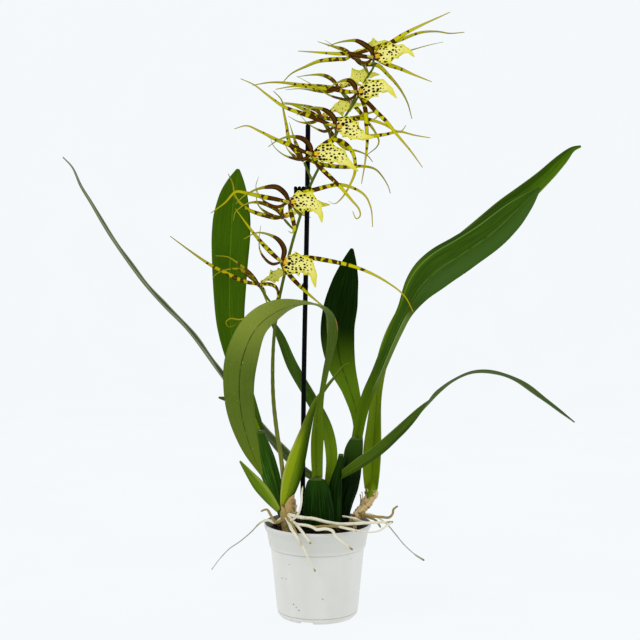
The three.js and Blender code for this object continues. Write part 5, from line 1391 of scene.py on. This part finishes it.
def tepal(route, face, width, outline, seed):
    length = travel(route, 10)[2]
    stations = int(np.clip(length / 1.6, 24, 70))
    t, at, normal, side, length = spine(route, stations, face, 1.75 / stations)
    swell = soften(ramp(outline, t), 6)[:, None]
    half = swell * width / 2
    deep = (0.75 + 0.25 * swell) * np.minimum(1, 0.3 + 5 * (1 - t[:, None]))
    rings = at[:, None] + side[:, None] * (half * SECTION_ACROSS)[..., None]
    rings = rings + normal[:, None] * (deep * SECTION_BACK)[..., None]
    facing = np.repeat([1.0, 0.0], 5)
    return skin(rings, strip_values(rings.shape[:2], SECTION_ACROSS, t[:, None], facing,
                                    t[:, None] * length * MM + seed))


print("faces of a short tepal:", len(tepal(arch, FRONT, 5, SEPAL, 0)[1]))

# %% One flower: five tepals, a column and a heart
HUB_RADIUS = 2.6
FRONT_WIDTHS = (5.2, 6.2, 3.6, 5.2, 5.2)  # dorsal sepal, two petals, two lateral sepals, in millimetres
BACK_WIDTHS = (5, 4.8, 4, 5, 5)
BEAK = ((0, 0), (1.6, 2.2), (3.2, 4.0), (4.2, 5.2))  # the column's route, outwards and up from the heart


def knob(place, radius, seed, bumps=0.12):
    """A lumpy bead of flesh."""
    build = bmesh.new()
    bmesh.ops.create_icosphere(build, subdivisions=4, radius=1)
    points = np.array([v.co for v in build.verts])
    build.verts.index_update()
    faces = [[v.index for v in f.verts] for f in build.faces]
    build.free()
    swell = 1 + bumps * np.sin(points @ [5, 3, 4] + seed) * np.cos(points @ [-3, 5, 2] + seed)
    return points * swell[:, None] * radius + place, faces, np.tile([0, 0.5, 0, 0], (len(points), 1))


def flower(name, bloom, seed):
    front = bloom["face"] == FRONT
    hub = np.array(bloom["hub"], float)
    looks = unit(np.array(bloom["face"], float))
    up = unit(np.array(bloom["tepals"][0][0]) - hub)
    finishes = [sepal_olive, petal_olive, sepal_olive, column_green, callus_gold, heart_brown]
    if front:
        finishes[:3] = [sepal_barred, petal_chocolate, dorsal_barred_painted_shade]
    shells = []
    for number, (route, width) in enumerate(zip(bloom["tepals"], FRONT_WIDTHS if front else BACK_WIDTHS)):
        is_petal = number in (1, 2)
        made = tepal([bloom["hub"], *route], bloom["face"], width, PETAL if is_petal else SEPAL,
                     seed + number * 0.31)
        shells.append((*made, 2 if number == 0 else int(is_petal)))
    beak = [(hub + looks * out + up * rise).tolist() for out, rise in BEAK]
    shells.append((*tube(beak, [[0, 2.0], [0.4, 2.0], [0.8, 1.7], [1, 1.3]], 18, 18), 3))
    shells.append((*knob(hub + looks * 4.6 + up * 5.6, 1.3, seed), 4))
    shells.append((*knob(hub, HUB_RADIUS * 0.92, seed, bumps=0.2), 5))
    piece(name + "_star", name + "_tepals", finishes, shells)


print("widths of the tepals in mm:", FRONT_WIDTHS, BACK_WIDTHS)

# %% One lip: a fiddle-shaped plate, ruffled, with a golden callus of two ridges
# widths by place along the lip, in parts of its span
LIP_FRONT = [[0, 0.3], [0.1, 0.62], [0.22, 1.02], [0.36, 1.1], [0.5, 0.84], [0.62, 0.66], [0.75, 0.36],
             [0.88, 0.2], [1, 0.05]]
LIP_BACK = [[0, 0.26], [0.32, 0.34], [0.42, 1.05], [0.58, 0.98], [0.72, 0.6], [0.86, 0.28], [1, 0.05]]
# the callus: outwards, up from the plate and away from the middle, in millimetres
RIDGE = ((0.5, 0.7, 0.9), (2, 1.4, 1.1), (4, 1.2, 1.2), (6, 0.4, 0.9))


def lip(name, bloom, turn):
    hub = np.array(bloom["hub"], float)
    out = unit(np.array(bloom["lip"][0]) - hub)
    start = hub + out * (HUB_RADIUS + 0.5)
    front = bloom["face"] == FRONT
    looks = bloom.get("lipFace", bloom["face"])
    deepest = 0.45 if looks == BACK else 0.28
    outline = [[t, width * bloom["span"]] for t, width in (LIP_FRONT if front else LIP_BACK)]

    def ruffle(t, u):
        broad = 1.5 * u * u * np.sin(14 * t + 2.4 * u + turn)
        fine = 0.5 * np.abs(u) ** 4 * np.sin(47 * t + 5 * u + turn * 2)
        return (broad + fine) * np.sin(np.pi * t)

    def lobes(t, way):
        notch = np.abs(np.sin(np.pi * (4.3 * t + 0.37 * turn + 0.31 * way))) ** 0.8
        return 1 - deepest * notch * np.clip(6 * t - 0.6, 0, 1) * np.clip(4 - 4 * t, 0, 1)

    plate = blade([start.tolist(), *bloom["lip"]], outline, looks, [[0, 0.2], [0.3, 0.05], [1, -0.3]],
                  0.5, 110, 37, ease=1.0, wave=ruffle, rib=0.3, seed=turn, passes=4, cut=lobes)
    shells = [(*plate, 0)]
    normal = unit(np.array(looks, float))
    side = np.cross(out, normal)
    for way in (-1, 1):
        ridge = [(start + out * a + normal * b + side * way * c).tolist() for a, b, c in RIDGE]
        shells.append((*tube(ridge, [[0, 1.1], [0.4, 1.4], [1, 0.5]], 20, 12), 1))
    piece(name + "_plate", name + "_lip", [lip_spotted if front else lip_faint, callus_gold], shells)


print("widest of a lip, in parts of its span:", max(width for _, width in LIP_FRONT))


# %% All twelve flowers
for number, (name, bloom) in enumerate(blooms.items()):
    flower(name, bloom, number * 0.83)
    lip(name, bloom, number * 1.3)
print("flowers:", len(blooms), "pieces so far:", len(pieces))

# %% [markdown]
# ## Flower spike
# The spike is one stalk from the foot of the front growth to the top flower, olive green flushed with
# bronze and yellowed near the foot. Under each flower a short pedicel swells into an ovary, and a small dry
# bract stands where it leaves the stalk. Nodes with a papery collar break the stalk, so the long green line
# doesn't look drawn with a ruler. A bevelled curve would do for the stalk alone, and the collars and
# ovaries need radii that change along the way.


# %% Stalk finishes
def stalk_tissue(name, green, bronze, old):
    """old is the yellowed colour near the foot."""
    made, tree, shader, strip = begin(name, 0.5)
    streaks = grain(tree, strip, 2.5, 16)
    colour = coat(tree, green, old, (strip["along"], 0.36, 0.16))
    close(tree, shader, coat(tree, colour, bronze, (streaks, 0.4, 0.68), most=0.85), streaks, 0.12)
    return made


stalk_green = stalk_tissue("spike_stalk", "#4d6414", "#5c5a18", "#7c8436")
stalk_ring = stalk_tissue("stalk_ring", "#5f6a1e", "#7a6a34", "#8a7c46")
print("stalk finishes:", stalk_green.name, stalk_ring.name)

# %% Stalk, pedicels, bracts and nodes, in millimetres
RACHIS_STOPS = 200
OVARY = [[0, 1.1], [0.3, 1.1], [0.6, 1.45], [0.9, 1.35], [1, 1.1]]  # radius along the pedicel
NODES = (48, 68, 88, 108)  # the stops where a node breaks the stalk
rachis = [[-35, -20, STEM_DEPTH], [-35, -20, 112], [-36, -20, 135], [-40, -19, 179], [-45, -16, 211],
          [-49, -12, 250], [-49, -8, 299], [-45, -4, 341], [-36, -1, 385], [-28, -1, 417], [-20, -1, 444],
          [-9, -2, 478], [1, -2, 499], [15, -2, 525], [31, -2, 557], [43, -2, 575], [53, -2, 596],
          [61, -4, 609], [61.5, -11, 614]]
spike = [(*tube(rachis, [[0, 2.5], [0.2, 2.4], [0.42, 1.8], [0.75, 1.5], [1, 1.2]], 360, 20, 0.04), 0)]
for number, bloom in enumerate(blooms.values()):
    hub = np.array(bloom["hub"], float)
    foot, end = [np.array(p, float) for p in bloom["stem"]]
    route = [*bloom["stem"], (hub + unit(end - hub) * (HUB_RADIUS + 0.3)).tolist()]
    spike.append((*tube(route, OVARY, 40, 18, 0.05, number), 0))
    lean = (end - foot) * 0.35
    spike.append((*shred(foot + unit(lean) * 1.6, lean + [0, 0, 0.1], 3.5, 3, number), 1))
at = travel(rachis, RACHIS_STOPS)[1]
for n in NODES:
    collar = [at[n - 2].tolist(), at[n + 1].tolist(), at[n + 5].tolist()]
    spike.append((*tube(collar, [[0, 1.7], [0.3, 2.1], [1, 1.85]], 20, 20, round_tip=False), 2))
piece("flower_spike", "spike", [stalk_green, bract_tan, stalk_ring], spike)
triangles = sum(len(face.vertices) - 2 for made in pieces for face in made.data.polygons)
print("spike parts:", len(spike), "pieces:", len(pieces), "triangles in all:", triangles)

# %% [markdown]
# ## Light, floor and camera
# The plant stands on a pale floor that runs up into a pale backdrop, under soft studio light: a bright
# world, one large softbox from the upper left, a weaker one from the right and one from behind. A longish
# lens a metre and a half away, a little above the middle and pitched slightly down, keeps the pot's rim a
# thin ellipse. A plain white world alone would be quicker, and would leave the leaves without their satin
# sheen.

# %% Floor and backdrop in one sweep
# The paper is lit from behind as well as from the front, like a light table, so it stays one even tone.
BACKDROP_AT = 1.6  # metres behind the plant, where the floor starts to rise
BEND_RADIUS = 0.9
stage_finish, tree, shader, _ = begin("backlit_paper", 1.0, specular=0.0)
close(tree, shader, coat(tree, "#313233", "#353637", (mottle(tree, 200), 0.4, 0.6)), mottle(tree, 4), 0.02)
shader.inputs["Emission Color"].default_value = tint("#f5f9fc")
shader.inputs["Emission Strength"].default_value = 0.96
sweep = [[-3.0, 0.0], [BACKDROP_AT, 0.0]]
sweep += [[BACKDROP_AT + BEND_RADIUS * np.sin(a), BEND_RADIUS - BEND_RADIUS * np.cos(a)]
          for a in np.linspace(0.1, np.pi / 2, 16)]
sweep += [[BACKDROP_AT + BEND_RADIUS, 4.5]]
floor_points = [(x, y, z) for y, z in sweep for x in (-5, 5)]
floor_faces = [(2 * i, 2 * i + 1, 2 * i + 3, 2 * i + 2) for i in range(len(sweep) - 1)]
floor_mesh = bpy.data.meshes.new("paper_sweep")
floor_mesh.from_pydata(floor_points, [], floor_faces)
floor_mesh.polygons.foreach_set("use_smooth", np.full(len(floor_faces), True))
floor_mesh.materials.append(stage_finish)
paper = bpy.data.objects.new("paper_sweep", floor_mesh)
bpy.context.scene.collection.objects.link(paper)
paper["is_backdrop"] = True
print("faces of the paper:", len(floor_faces))


# %% Lights
def softbox(name, place, aim, size, watts):
    """A round area light that faces its aim."""
    data = bpy.data.lights.new(name, "AREA")
    data.shape = "DISK"
    data.size = size
    data.energy = watts
    made = bpy.data.objects.new(name, data)
    made.location = place
    made.rotation_euler = (Vector(aim) - Vector(place)).to_track_quat("-Z", "Y").to_euler()
    bpy.context.scene.collection.objects.link(made)


middle = (0, 0, 0.35)
softbox("key_softbox", (-1.5, -1.2, 1.9), middle, 1.4, 24)
softbox("fill_softbox", (1.8, -1.0, 1.0), middle, 1.6, 11)
softbox("back_softbox", (0.4, 1.2, 1.8), middle, 1.2, 10)
world = bpy.data.worlds.new("studio_air")
bpy.context.scene.world = world
world.use_nodes = True
air = world.node_tree.nodes["Background"].inputs
air["Color"].default_value = tint("#f4f8fb")
air["Strength"].default_value = 0.74
bpy.context.scene.view_settings.view_transform = "Standard"
print("lights in watts:", {light.name: light.energy for light in bpy.data.lights})

# %% Camera
lens = bpy.data.cameras.new("studio_camera")
lens.lens = 76.2
lens.sensor_width = 36
camera = bpy.data.objects.new("studio_camera", lens)
camera.location = (0.0028, -1.5, 0.437)
camera.rotation_euler = (np.radians(86), 0, 0)
bpy.context.scene.collection.objects.link(camera)
bpy.context.scene.camera = camera
print("angle of view in degrees:", round(np.degrees(lens.angle), 1))

# %% [markdown]
# ## Last check
# The dressed plant stays inside the box of its solids.

# %% Sizes and finish
low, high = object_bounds()
print("box of the dressed plant in mm:", [round(1000 * v, 1) for v in (*low, *high)])
